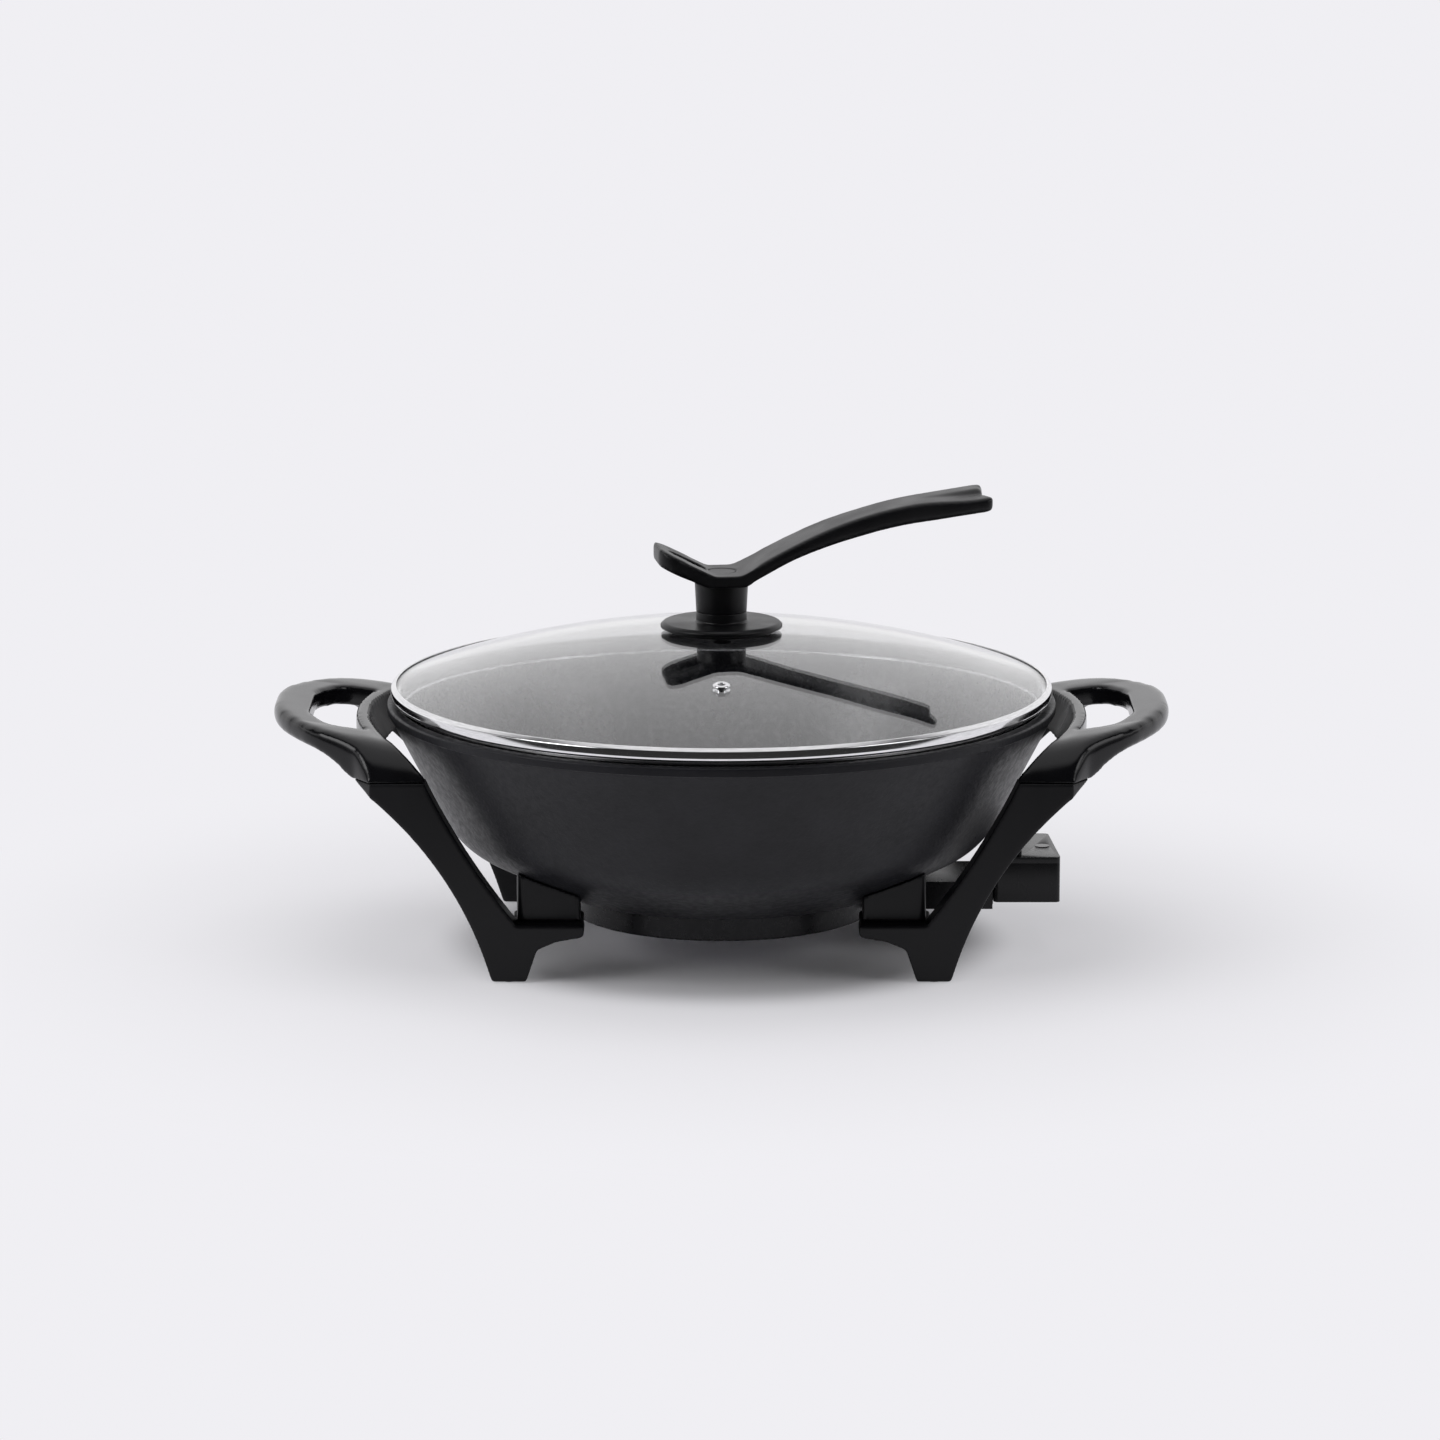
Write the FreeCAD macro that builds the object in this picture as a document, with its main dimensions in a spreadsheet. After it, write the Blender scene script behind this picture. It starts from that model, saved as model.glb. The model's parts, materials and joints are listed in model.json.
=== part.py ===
"""Electric wok: a die-cast bowl on a moulded stand, with a lift-off glass lid and a plug-in controller.

Frame: millimetres, +Z up, X across the two side handles, origin on the table under the bowl's axis.
The controller plugs in along -X from the right, the lid lifts along +Z.
"""
import FreeCAD, Part
import math
import os
import Sketcher

X, Y, Z = FreeCAD.Vector(1, 0, 0), FreeCAD.Vector(0, 1, 0), FreeCAD.Vector(0, 0, 1)
ORIGIN = FreeCAD.Vector(0, 0, 0)
ALONG_X = FreeCAD.Rotation(Y, 90)
ALONG_Y = FreeCAD.Rotation(X, -90)
HALF_TURN_X = FreeCAD.Rotation(X, 180)

doc = FreeCAD.newDocument("electric_wok")
sheet = doc.addObject("Spreadsheet::Sheet", "sizes")

# ---------------------------------------------------------------- driving dimensions (mm, degrees)
SIZES = {
    # bowl
    "rim_radius": 161.5, "rim_height": 119.4, "rim_band": 4.4, "rim_lip": 0.7,
    "waist_radius": 128.6, "waist_height": 53, "waist_bend": 35, "sole_radius": 83.5,
    "sole_height": 29.7, "bowl_wall": 3.6, "bowl_floor": 5, "hollow_bend": 60,
    "rim_width": 5.5, "ledge_width": 4, "ledge_depth": 3.7, "neck_depth": 14.5,
    "boss_radius": 5, "seat_gap": 0.3,
    # lid
    "dome_radius": 475, "glass_seat": 0.1, "glass_thickness": 4,
    "lid_inset": 1.5, "band_gap": 2.3, "band_height": 6.5, "band_sheet": 0.8, "band_lip": 3,
    "skirt_gap": 1.2, "vent_place": 95, "vent_radius": 4.1, "vent_bore": 1.6, "vent_shank": 2.6,
    # knob
    "knob_radius": 29.4, "disc_rise": 3.8, "knob_boss_height": 5, "seal_height": 0.9, "stem_foot_radius": 12.2,
    "stem_head_radius": 12.9, "stem_length": 13.9, "grip_width": 35, "waist_grip_width": 26,
    "grip_thickness": 8.1, "valley_thickness": 5.5, "grip_turn": 8, "tail_reach": 131, "tail_rise": 37.2,
    "thumb_reach": 31.8, "thumb_rise": 13.2, "slot_place": 16.8, "slot_length": 18, "slot_width": 12,
    "slot_rib": 1.1, "slot_pitch": 3, "notch_depth": 4,
    "cap_radius": 6.8, "cap_height": 1.6, "screw_radius": 2.4, "head_radius": 4.6, "head_height": 3,
    # stand
    "plate_middle": 82, "plate_thickness": 14, "seam_drop": 23.2, "seam_out": 12, "seam_width": 33.6,
    "leg_bend": 180, "leg_hollow_bend": 350, "boss_rise": 8, "head_seat": 4,
    "foot_outer": 108.8, "foot_inner": 92.5, "shelf_height": 27.9, "shelf_thickness": 7, "shelf_end": 65,
    "shelf_reach": 34, "pad_radius": 4.6, "pad_proud": 0.5, "pad_depth": 2,
    "block_inner": 67, "block_outer": 97, "block_front": 80, "block_back": 56,
    # side handles
    "handle_out": 54.2, "handle_rise": 15.4, "handle_thickness": 9.5, "handle_tilt": 8,
    "rail_gap": 8.5, "rail_width": 6.5, "handle_lean": 0.5, "loop_width": 17.4, "arch_bend": 24,
    "arch_inner_bend": 18, "cheek_length": 29, "rib_depth": 9.6, "rib_width": 3.5, "hole_half": 47.5,
    "hole_end_bend": 40, "hole_side_bend": 12,
    "tenon_length": 8, "tenon_width": 7, "tenon_depth": 8,
    # heater
    "ring_inset": 10, "ring_height": 13.2, "ring_wall": 1.8, "cover_sheet": 1, "shield_sheet": 0.6,
    "heater_inset": 23.5, "tube_radius": 3.3, "tube_gap": 0.2, "terminal_spacing": 13.5,
    "pin_radius": 1.6, "pin_reach": 24.5, "tube_reach": 4.5, "cover_screw_place": 28,
    "cover_screw_length": 7,
    # terminal shroud and controller
    "shroud_reach": 57.5, "shroud_half": 22.4, "shroud_below": 6, "shroud_above": 7.5, "shroud_wall": 1.6,
    "probe_radius": 2.5, "probe_clearance": 0.08, "probe_depth": 11.5, "probe_boss_reach": 10.5,
    "nose_reach": 18.5, "nose_wall": 1.3, "plug_gap": 0.4, "sleeve_radius": 2.6, "press_gap": 0.02,
    "box_length": 32.2, "box_taper": 3.5, "box_half": 26.4, "box_rise": 4.3, "box_depth": 19.2,
    "cover_thickness": 3, "box_wall": 2.2, "box_bend": 2.4, "post_radius": 3.2, "post_screw_radius": 1.15,
    "step_length": 13.7, "step_half": 23, "step_height": 2.3, "dial_along": 9, "dial_rise": 13.1,
    "dial_radius": 8.6, "dial_thickness": 8, "shaft_radius": 3, "shaft_clearance": 0.05,
    "lamp_along": 24.5, "lamp_across": 1, "lamp_radius": 3.5, "gland_along": 20.8, "gland_rise": 6.85,
    "gland_radius": 4.6, "cord_radius": 3.2,
}


class Dim:
    """A length with its value and the spreadsheet expression that gives it."""

    def __init__(self, value, text):
        self.value = value
        self.text = text

    def _join(self, other, sign, result):
        other = dim(other)
        return Dim(result(self.value, other.value), f"({self.text} {sign} {other.text})")

    def __add__(self, other):
        return self._join(other, "+", lambda a, b: a + b)

    def __radd__(self, other):
        return dim(other) + self

    def __sub__(self, other):
        return self._join(other, "-", lambda a, b: a - b)

    def __rsub__(self, other):
        return dim(other) - self

    def __mul__(self, other):
        return self._join(other, "*", lambda a, b: a * b)

    def __rmul__(self, other):
        return dim(other) * self

    def __truediv__(self, other):
        return self._join(other, "/", lambda a, b: a / b)

    def __neg__(self):
        return dim(0) - self


def dim(number):
    """A plain number as a Dim; a Dim stays as it is."""
    return number if isinstance(number, Dim) else Dim(float(number), repr(float(number)))


def root(square):
    """Square root of a Dim."""
    return Dim(math.sqrt(square.value), f"sqrt({square.text})")


def tangent(angle):
    """Tangent of an angle that is given in degrees."""
    return Dim(math.tan(math.radians(angle.value)), f"tan({angle.text})")


class Sheet:
    """The driving dimensions by name, each as a Dim."""

    def __init__(self, sizes):
        for row, (name, value) in enumerate(sizes.items(), start=1):
            sheet.set(f"A{row}", name)
            sheet.set(f"B{row}", str(value))
            sheet.setAlias(f"B{row}", name)
        doc.recompute()
        for name in sizes:
            setattr(self, name, Dim(float(sheet.get(name)), f"sizes.{name}"))


S = Sheet(SIZES)

# ---------------------------------------------------------------- sizes that follow from the others
S.ledge_radius = S.rim_radius - S.rim_width
S.neck_radius = S.ledge_radius - S.ledge_width
S.lid_radius = S.rim_radius - S.lid_inset
S.glass_radius = S.lid_radius - S.band_sheet * 2
S.skirt_radius = S.ledge_radius - S.skirt_gap
S.band_low = S.rim_height + S.band_gap
S.band_high = S.band_low + S.band_height
S.lip_inner = S.lid_radius - S.band_lip
S.dome_height = (S.band_high - S.band_sheet - S.glass_seat + S.dome_radius
                 - root(S.dome_radius * S.dome_radius - S.lip_inner * S.lip_inner))
S.knob_top = S.dome_height + S.disc_rise
S.stem_low = S.knob_top + S.knob_boss_height
S.stem_top = S.stem_low + S.stem_length
S.seam_height = S.rim_height - S.seam_drop
S.seam_outer = S.rim_radius + S.seam_out
S.seam_inner = S.seam_outer - S.seam_width
S.handle_reach = S.rim_radius + S.handle_out
S.handle_top = S.seam_height + S.handle_rise
S.handle_inner_radius = S.rim_radius + S.rail_gap
S.hole_inner = S.handle_inner_radius + S.rail_width
S.hole_outer = S.handle_reach - S.loop_width
S.boss_low = S.shelf_height + S.boss_rise
S.head_seat_height = S.shelf_height - S.shelf_thickness + S.head_seat
S.ring_radius = S.sole_radius - S.ring_inset
S.ring_low = S.sole_height - S.ring_height
S.heater_radius = S.ring_radius - S.heater_inset
S.tube_end = S.ring_radius + S.tube_reach
S.pin_tip = S.ring_radius + S.pin_reach
S.probe_tip = S.ring_radius - S.probe_depth
S.probe_boss_end = S.ring_radius + S.probe_boss_reach
S.socket_height = S.sole_height - S.tube_radius - S.tube_gap
S.shroud_low = S.socket_height - S.shroud_below
S.shroud_high = S.socket_height + S.shroud_above
S.shroud_end = S.ring_radius + S.shroud_reach
S.nose_end = S.ring_radius + S.nose_reach
S.nose_low = S.shroud_low + S.shroud_wall + S.plug_gap
S.nose_high = S.shroud_high - S.shroud_wall - S.plug_gap
S.nose_half = S.shroud_half - S.shroud_wall - S.plug_gap
S.box_start = S.shroud_end + S.seat_gap
S.box_end = S.box_start + S.box_length
S.step_end = S.box_start + S.step_length
S.dial_place = S.box_start + S.dial_along
S.lamp_place = S.box_start + S.lamp_along
S.gland_place = S.box_start + S.gland_along
S.box_low = S.shroud_low + S.box_rise
S.box_split = S.box_low + S.box_depth
S.box_high = S.box_split + S.cover_thickness
S.dial_height = S.box_low + S.dial_rise
S.gland_height = S.box_low + S.gland_rise


# ---------------------------------------------------------------- helpers
def bind(thing, prop, size):
    """Tie one property of an object to the sheet."""
    thing.setExpression(prop, dim(size).text)


def place(thing, x=0, y=0, z=0, turn=FreeCAD.Rotation()):
    """Put an object at a point that the sheet gives."""
    spot = [dim(value) for value in (x, y, z)]
    thing.Placement = FreeCAD.Placement(FreeCAD.Vector(*[value.value for value in spot]), turn)
    for name, value in zip("xyz", spot):
        thing.setExpression(f"Placement.Base.{name}", value.text)
    return thing


def sketch_on(body, role, name):
    """An empty sketch on one of the body's own origin planes."""
    sketch = body.newObject("Sketcher::SketchObject", name)
    plane = next(item for item in body.Origin.OriginFeatures if item.Role == role)
    sketch.AttachmentSupport = [(plane, "")]
    sketch.MapMode = "FlatFace"
    return sketch


def pin_point(sketch, geometry, point, x, y):
    """Hold a sketch point at a distance from the sketch's origin, along both axes."""
    for kind, size in (("DistanceX", dim(x)), ("DistanceY", dim(y))):
        index = sketch.addConstraint(Sketcher.Constraint(kind, -1, 1, geometry, point, size.value))
        sketch.setExpression(f"Constraints[{index}]", size.text)


def outline(sketch, corners):
    """Closed outline through corners (x, y) or (x, y, bend), where bend is the corner's radius."""
    spots = [FreeCAD.Vector(dim(c[0]).value, dim(c[1]).value, 0) for c in corners]
    count = len(corners)
    legs = [(spots[(i + 1) % count] - spots[i]).normalize() for i in range(count)]
    entry, leave, turn_left = [], [], []
    for i, corner in enumerate(corners):
        before, after = legs[i - 1], legs[i]
        turn_left.append(before.cross(after).z > 0)
        reach = 0.0
        if len(corner) == 3:
            reach = dim(corner[2]).value * math.tan(before.getAngle(after) / 2)
        entry.append(spots[i] - before * reach)
        leave.append(spots[i] + after * reach)
    lines = [sketch.addGeometry(Part.LineSegment(leave[i], entry[(i + 1) % count])) for i in range(count)]
    for i, corner in enumerate(corners):
        if len(corner) == 2:
            sketch.addConstraint(Sketcher.Constraint("Coincident", lines[i - 1], 2, lines[i], 1))
            pin_point(sketch, lines[i], 1, corner[0], corner[1])
            continue
        bend = dim(corner[2])
        side = Z.cross(legs[i - 1]) * (1 if turn_left[i] else -1)
        centre = entry[i] + side * bend.value
        first, last = (entry[i], leave[i]) if turn_left[i] else (leave[i], entry[i])
        angles = [math.atan2(p.y - centre.y, p.x - centre.x) for p in (first, last)]
        if angles[1] < angles[0]:
            angles[1] += 2 * math.pi
        arc = sketch.addGeometry(Part.ArcOfCircle(Part.Circle(centre, Z, bend.value), *angles))
        near, far = (1, 2) if turn_left[i] else (2, 1)
        sketch.addConstraint(Sketcher.Constraint("Tangent", lines[i - 1], 2, arc, near))
        sketch.addConstraint(Sketcher.Constraint("Tangent", arc, far, lines[i], 1))
        index = sketch.addConstraint(Sketcher.Constraint("Radius", arc, bend.value))
        sketch.setExpression(f"Constraints[{index}]", bend.text)
        corner_point = sketch.addGeometry(Part.Point(spots[i]), True)
        pin_point(sketch, corner_point, 1, corner[0], corner[1])
        sketch.addConstraint(Sketcher.Constraint("PointOnObject", corner_point, 1, lines[i - 1]))
        sketch.addConstraint(Sketcher.Constraint("PointOnObject", corner_point, 1, lines[i]))
    return sketch


def new_body(label):
    """An empty part-design body with its label."""
    body = doc.addObject("PartDesign::Body", label)
    body.Label = label
    return body


def turned(label, corners):
    """A piece of revolution about Z; the outline gives radius and height."""
    body = new_body(label)
    sketch = outline(sketch_on(body, "XZ_Plane", f"{label}_profile"), corners)
    feature = body.newObject("PartDesign::Revolution", f"{label}_turning")
    feature.Profile = sketch
    feature.ReferenceAxis = (sketch, ["V_Axis"])
    feature.Angle = 360
    return body


def padded(label, role, corners, length, middle=True):
    """A plate of the given outline, thick along the plane's normal."""
    body = new_body(label)
    sketch = outline(sketch_on(body, role, f"{label}_outline"), corners)
    feature = body.newObject("PartDesign::Pad", f"{label}_pad")
    feature.Profile = sketch
    bind(feature, "Length", length)
    feature.SideType = "Symmetric" if middle else "One side"
    return body


def box(label, low, high):
    """A block between two corners."""
    low, high = [dim(value) for value in low], [dim(value) for value in high]
    block = doc.addObject("Part::Box", label)
    for prop, start, end in zip(("Length", "Width", "Height"), low, high):
        bind(block, prop, end - start)
    return place(block, *low)


def rod(label, radius, length, x=0, y=0, z=0, turn=FreeCAD.Rotation()):
    """A round bar that starts at a point and runs along its turned Z axis."""
    bar = doc.addObject("Part::Cylinder", label)
    bind(bar, "Radius", radius)
    bind(bar, "Height", length)
    return place(bar, x, y, z, turn)


def cut(label, base, tools):
    """The base with the tools taken away."""
    tool = tools[0] if len(tools) == 1 else fuse(f"{label}_tools", tools)
    result = doc.addObject("Part::Cut", label)
    result.Base, result.Tool = base, tool
    return result


def fuse(label, shapes):
    """Several shapes as one."""
    result = doc.addObject("Part::MultiFuse", label)
    result.Shapes = shapes
    result.Refine = True
    return result


def common(label, shapes):
    """What several shapes share."""
    result = doc.addObject("Part::MultiCommon", label)
    result.Shapes = shapes
    return result


def mirrored(label, source, normal):
    """The source on the other side of the origin."""
    result = doc.addObject("Part::Mirroring", label)
    result.Source = source
    result.Normal = normal
    result.Base = ORIGIN
    return result


def group(label, shapes):
    """Separate solids of one kind under one name."""
    result = doc.addObject("Part::Compound", label)
    result.Links = shapes
    return result


def screw(label, length, x, y, z, turn=FreeCAD.Rotation(), radius=None, head=None):
    """A pan-head screw whose head stands on the point and whose shank runs on along turned +Z."""
    radius = radius or S.screw_radius
    head = head or S.head_radius
    cap = rod(f"{label}_head", head, S.head_height)
    shank = rod(f"{label}_shank", radius, S.head_height + length)
    half = head * 0.11
    depth = S.head_height * 0.4
    recess = box(f"{label}_recess", (-head * 0.5, -half, -half), (head * 0.5, half, depth))
    across = box(f"{label}_recess_across", (-half, -head * 0.5, -half), (half, head * 0.5, depth))
    whole = cut(f"{label}_piece", fuse(f"{label}_blank", [cap, shank]), [recess, across])
    return place(whole, x, y, z, turn)


NODES = []


def keep(piece, label=None):
    """Note a finished sub-part under its label."""
    piece.Label = label or piece.Label
    NODES.append(piece)
    return piece


# ---------------------------------------------------------------- bowl
def bowl_outside(label, gap):
    """Solid of the bowl's outer form, grown by a gap."""
    grow = S.rim_radius + gap
    return turned(label, [
        (0, S.sole_height - gap),
        (S.sole_radius + gap * 0.5, S.sole_height - gap),
        (S.waist_radius + gap, S.waist_height - gap, S.waist_bend),
        (grow, S.rim_height - S.rim_band),
        (grow, S.rim_height),
        (0, S.rim_height),
    ])


def leg_screw_spot():
    """Distance of each leg screw from the bowl's two planes of symmetry."""
    across = (S.block_inner + S.block_outer) / 2
    along = (S.block_front + S.block_back) / 2
    return across, along


def build_bowl():
    """The cast bowl with its lid ledge, four screw bosses, cover bosses and probe boss."""
    outer_wall = S.rim_radius - S.rim_lip
    band_low = S.rim_height - S.rim_band
    ledge = S.rim_height - S.ledge_depth
    inner_floor = S.sole_height + S.bowl_floor
    shell = turned("bowl_shell", [
        (0, S.sole_height),
        (S.sole_radius, S.sole_height),
        (S.waist_radius, S.waist_height, S.waist_bend),
        (outer_wall, band_low),
        (S.rim_radius, band_low),
        (S.rim_radius, S.rim_height, 1),
        (S.ledge_radius, S.rim_height, 0.6),
        (S.ledge_radius, ledge),
        (S.neck_radius, ledge, 1),
        (S.neck_radius, S.rim_height - S.neck_depth, 20),
        (S.waist_radius - S.bowl_wall * 0.75, S.waist_height + S.bowl_wall * 0.75, S.hollow_bend),
        (S.sole_radius + S.bowl_wall * 0.5, inner_floor, S.hollow_bend),
        (0, inner_floor),
    ])
    across, along = leg_screw_spot()
    floor_middle = S.sole_height + S.bowl_floor / 2
    bosses, holes = [], []
    for number, (side, end) in enumerate(((1, 1), (1, -1), (-1, 1), (-1, -1)), start=1):
        spot = (across * side, along * end)
        bosses.append(rod(f"leg_boss_{number}", S.boss_radius, boss_height(), *spot, S.boss_low))
        holes.append(rod(f"leg_boss_hole_{number}", S.screw_radius * 0.7, boss_height() - S.bowl_wall, *spot,
                         S.boss_low))
    stud_low = S.ring_low + S.ring_wall + S.cover_sheet
    for number in range(3):
        angle = math.radians(60 + 120 * number)
        spot = (S.cover_screw_place * math.cos(angle), S.cover_screw_place * math.sin(angle))
        bosses.append(rod(f"cover_boss_{number}", S.boss_radius, floor_middle - stud_low, *spot, stud_low))
        holes.append(rod(f"cover_boss_hole_{number}", S.screw_radius * 0.7, S.cover_screw_length * 1.3, *spot,
                         stud_low))
    probe_half = S.probe_radius * 2
    bosses.append(box("probe_boss", (S.probe_tip - 4, -probe_half, S.socket_height - S.probe_radius - 1.5),
                      (S.probe_boss_end, probe_half, S.sole_height + 0.5)))
    holes.append(rod("probe_bore", S.probe_radius + S.probe_clearance, S.probe_boss_end - S.probe_tip + 3,
                     S.probe_tip - 2, 0, S.socket_height, ALONG_X))
    return keep(cut("wok_bowl", fuse("bowl_casting", [shell] + bosses), holes))


def boss_height():
    """Height of a leg boss, from its face up into the bowl's wall."""
    across, along = leg_screw_spot()
    reach = root(across * across + along * along)
    slope = (S.waist_height - S.sole_height) / (S.waist_radius - S.sole_radius)
    wall_here = S.sole_height + (reach - S.boss_radius - S.sole_radius) * slope
    return wall_here - S.boss_low + S.bowl_wall * 0.9


# ---------------------------------------------------------------- heater under the bowl
def build_heater():
    """Base ring, tubular heater, heat shield, bottom cover and their screws."""
    ring_inner = S.ring_radius - S.ring_wall
    lip_top = S.ring_low + S.ring_wall
    ring = turned("ring_blank", [
        (ring_inner - 6, S.ring_low), (S.ring_radius, S.ring_low, 1), (S.ring_radius, S.sole_height),
        (ring_inner, S.sole_height), (ring_inner, lip_top), (ring_inner - 6, lip_top),
    ])
    window_half = S.terminal_spacing + S.tube_radius + S.seat_gap
    window = box("ring_window", (S.ring_radius - 12, -window_half, S.socket_height - S.tube_radius - 0.7),
                 (S.ring_radius + 1, window_half, S.sole_height + 1))
    screw_holes = [rod(f"ring_screw_hole_{side}", S.screw_radius * 0.6, 20, S.ring_radius - 14,
                       shroud_screw_across() * side, shroud_screw_height(), ALONG_X) for side in (1, -1)]
    keep(cut("base_ring", ring, [window] + screw_holes))

    cover_top = lip_top + S.cover_sheet
    cover = turned("cover_blank", [
        (0, lip_top), (ring_inner - S.seat_gap, lip_top), (ring_inner - S.seat_gap, cover_top), (0, cover_top),
    ])
    shield_top = cover_top + 2.2
    shield_outer = ring_inner - 3
    shield = turned("shield_blank", [
        (10, shield_top - S.shield_sheet), (shield_outer - S.shield_sheet, shield_top - S.shield_sheet),
        (shield_outer - S.shield_sheet, cover_top), (shield_outer, cover_top), (shield_outer, shield_top),
        (10, shield_top),
    ])
    holes, shield_holes, screws = [], [], []
    for number in range(3):
        angle = math.radians(60 + 120 * number)
        spot = (S.cover_screw_place * math.cos(angle), S.cover_screw_place * math.sin(angle))
        holes.append(rod(f"cover_hole_{number}", S.screw_radius + 0.2, 10, *spot, S.ring_low))
        shield_holes.append(rod(f"shield_hole_{number}", S.boss_radius + 0.6, 10, *spot, S.ring_low))
        screws.append(screw(f"cover_screw_{number}", S.cover_screw_length, *spot, lip_top - S.head_height,
                            radius=S.screw_radius * 0.65))
    probe_gap = box("shield_probe_gap", (S.probe_tip - 6, -S.terminal_spacing, cover_top - 1),
                    (S.ring_radius, S.terminal_spacing, shield_top + 1))
    keep(cut("bottom_cover", cover, holes))
    keep(cut("heat_shield", shield, shield_holes + [probe_gap]))
    keep(group("cover_screws", screws))

    ends = math.degrees(math.asin(S.terminal_spacing.value / S.heater_radius.value))
    coil = doc.addObject("Part::Torus", "heater_coil")
    bind(coil, "Radius1", S.heater_radius)
    bind(coil, "Radius2", S.tube_radius)
    coil.Angle3 = 360 - 2 * ends
    coil.setExpression("Angle3", f"360 - 2 * asin({(S.terminal_spacing / S.heater_radius).text}) / 1deg")
    place(coil, 0, 0, S.socket_height, FreeCAD.Rotation(Z, ends))
    coil.setExpression("Placement.Rotation.Angle", f"asin({(S.terminal_spacing / S.heater_radius).text})")
    turn_x = root(S.heater_radius * S.heater_radius - S.terminal_spacing * S.terminal_spacing)
    pieces, pins = [coil], []
    for side, name in ((1, "rear"), (-1, "front")):
        across = S.terminal_spacing * side
        elbow = doc.addObject("Part::Sphere", f"heater_elbow_{name}")
        bind(elbow, "Radius", S.tube_radius)
        place(elbow, turn_x, across, S.socket_height)
        tail = rod(f"heater_tail_{name}", S.tube_radius, S.tube_end - turn_x, turn_x, across, S.socket_height,
                   ALONG_X)
        pieces += [elbow, tail]
        pins.append(rod(f"terminal_pin_{name}", S.pin_radius, S.pin_tip - S.tube_end, S.tube_end, across,
                        S.socket_height, ALONG_X))
    keep(fuse("heating_element", pieces))
    keep(group("terminal_pins", pins))


# ---------------------------------------------------------------- stand
def build_stand():
    """Four legs with shelves and feet, their blocks, pads and screws."""
    across, along = leg_screw_spot()
    foot_height = S.pad_proud
    shelf_low = S.shelf_height - S.shelf_thickness
    crotch = S.foot_outer - 11.8
    plate = padded("leg_plate", "XZ_Plane", [
        (S.foot_inner, foot_height, 1.2),
        (S.foot_outer, foot_height, 1.6),
        (S.foot_outer + (S.seam_outer - S.foot_outer) * 0.275, S.seam_height * 0.584, S.leg_bend),
        (S.seam_outer, S.seam_height),
        (S.seam_inner, S.seam_height),
        (crotch + (S.seam_inner - crotch) * 0.6, S.shelf_height + (S.seam_height - S.shelf_height) * 0.48,
         S.leg_hollow_bend),
        (crotch, S.shelf_height),
        (S.shelf_end, S.shelf_height, 1.5),
        (S.shelf_end, shelf_low + 1.2, 2.5),
        (S.foot_inner - 14, shelf_low - 1.2, 4),
        (S.foot_inner - 5.2, shelf_low - 5, 3),
    ], S.plate_thickness)
    place(plate, 0, -S.plate_middle, 0)
    shelf_front = -S.plate_middle - S.plate_thickness / 2
    shelf = padded("leg_shelf", "XY_Plane", [
        (S.shelf_end + 0.6, shelf_front + 1), (S.foot_outer - 9.5, shelf_front + 1),
        (S.foot_outer - 9.5, shelf_front + S.shelf_reach, 3), (S.shelf_end + 0.6, shelf_front + S.shelf_reach, 3),
    ], S.shelf_thickness - 2.5, middle=False)
    place(shelf, 0, 0, S.shelf_height - S.shelf_thickness + 2.5)
    bevel_start, bevel_end = bevel_line()
    bevel = padded("leg_bevel", "XY_Plane", [
        (bevel_start[0], -bevel_start[1]), (bevel_end[0], -bevel_end[1]), (bevel_start[0], -bevel_end[1]),
    ], S.seam_height + 1, middle=False)
    screw_hole = rod("leg_screw_hole", S.screw_radius + 0.3, 40, across, -along, 0)
    head_hole = rod("leg_head_hole", S.head_radius + 0.4, S.head_seat_height, across, -along, 0)
    pad_x = (S.foot_inner + S.foot_outer) / 2
    pad_hole = rod("leg_pad_hole", S.pad_radius, S.pad_depth, pad_x, -S.plate_middle, foot_height)
    mortise = box("leg_mortise",
                  (tenon_middle() - S.tenon_length / 2 - 0.2, -S.plate_middle - S.tenon_width / 2 - 0.2,
                   S.seam_height - S.tenon_depth - 0.5),
                  (tenon_middle() + S.tenon_length / 2 + 0.2, -S.plate_middle + S.tenon_width / 2 + 0.2,
                   S.seam_height + 1))
    tenon_z = S.seam_height - S.tenon_depth / 2
    back_face = -S.plate_middle + S.plate_thickness / 2
    tenon_screw_hole = rod("leg_tenon_screw_hole", side_screw_radius() + S.seat_gap, S.plate_thickness / 2,
                           tenon_middle(), back_face + 1, tenon_z, FreeCAD.Rotation(X, 90))
    leg = cut("leg_front_right", fuse("leg_blank", [plate, shelf]),
              [screw_hole, head_hole, pad_hole, mortise, tenon_screw_hole, bevel])
    keep(leg)
    keep(mirrored("leg_front_left", leg, X))
    rear = keep(mirrored("leg_rear_right", leg, Y))
    keep(mirrored("leg_rear_left", rear, X))

    pad = rod("foot_pad", S.pad_radius - 0.05, S.pad_depth + S.pad_proud, pad_x, -S.plate_middle, 0)
    keep(four("foot_pads", pad))

    block = padded("block_blank", "XY_Plane", [
        (S.block_inner, -S.block_front, 2), (S.block_outer, -S.block_front, 3.5),
        (S.block_outer, -S.block_back, 3.5), (S.block_inner, -S.block_back, 2),
    ], S.waist_height - S.shelf_height, middle=False)
    place(block, 0, 0, S.shelf_height)
    envelope = bowl_outside("block_seat", S.seat_gap)
    boss_room = rod("block_boss_room", S.boss_radius + S.seat_gap, 40, across, -along,
                    S.boss_low - S.seat_gap)
    block_hole = rod("block_screw_hole", S.screw_radius + 0.3, 40, across, -along, S.shelf_height - 1)
    seated = cut("mount_block", block, [envelope, boss_room, block_hole])
    keep(four("mount_blocks", seated))

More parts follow.
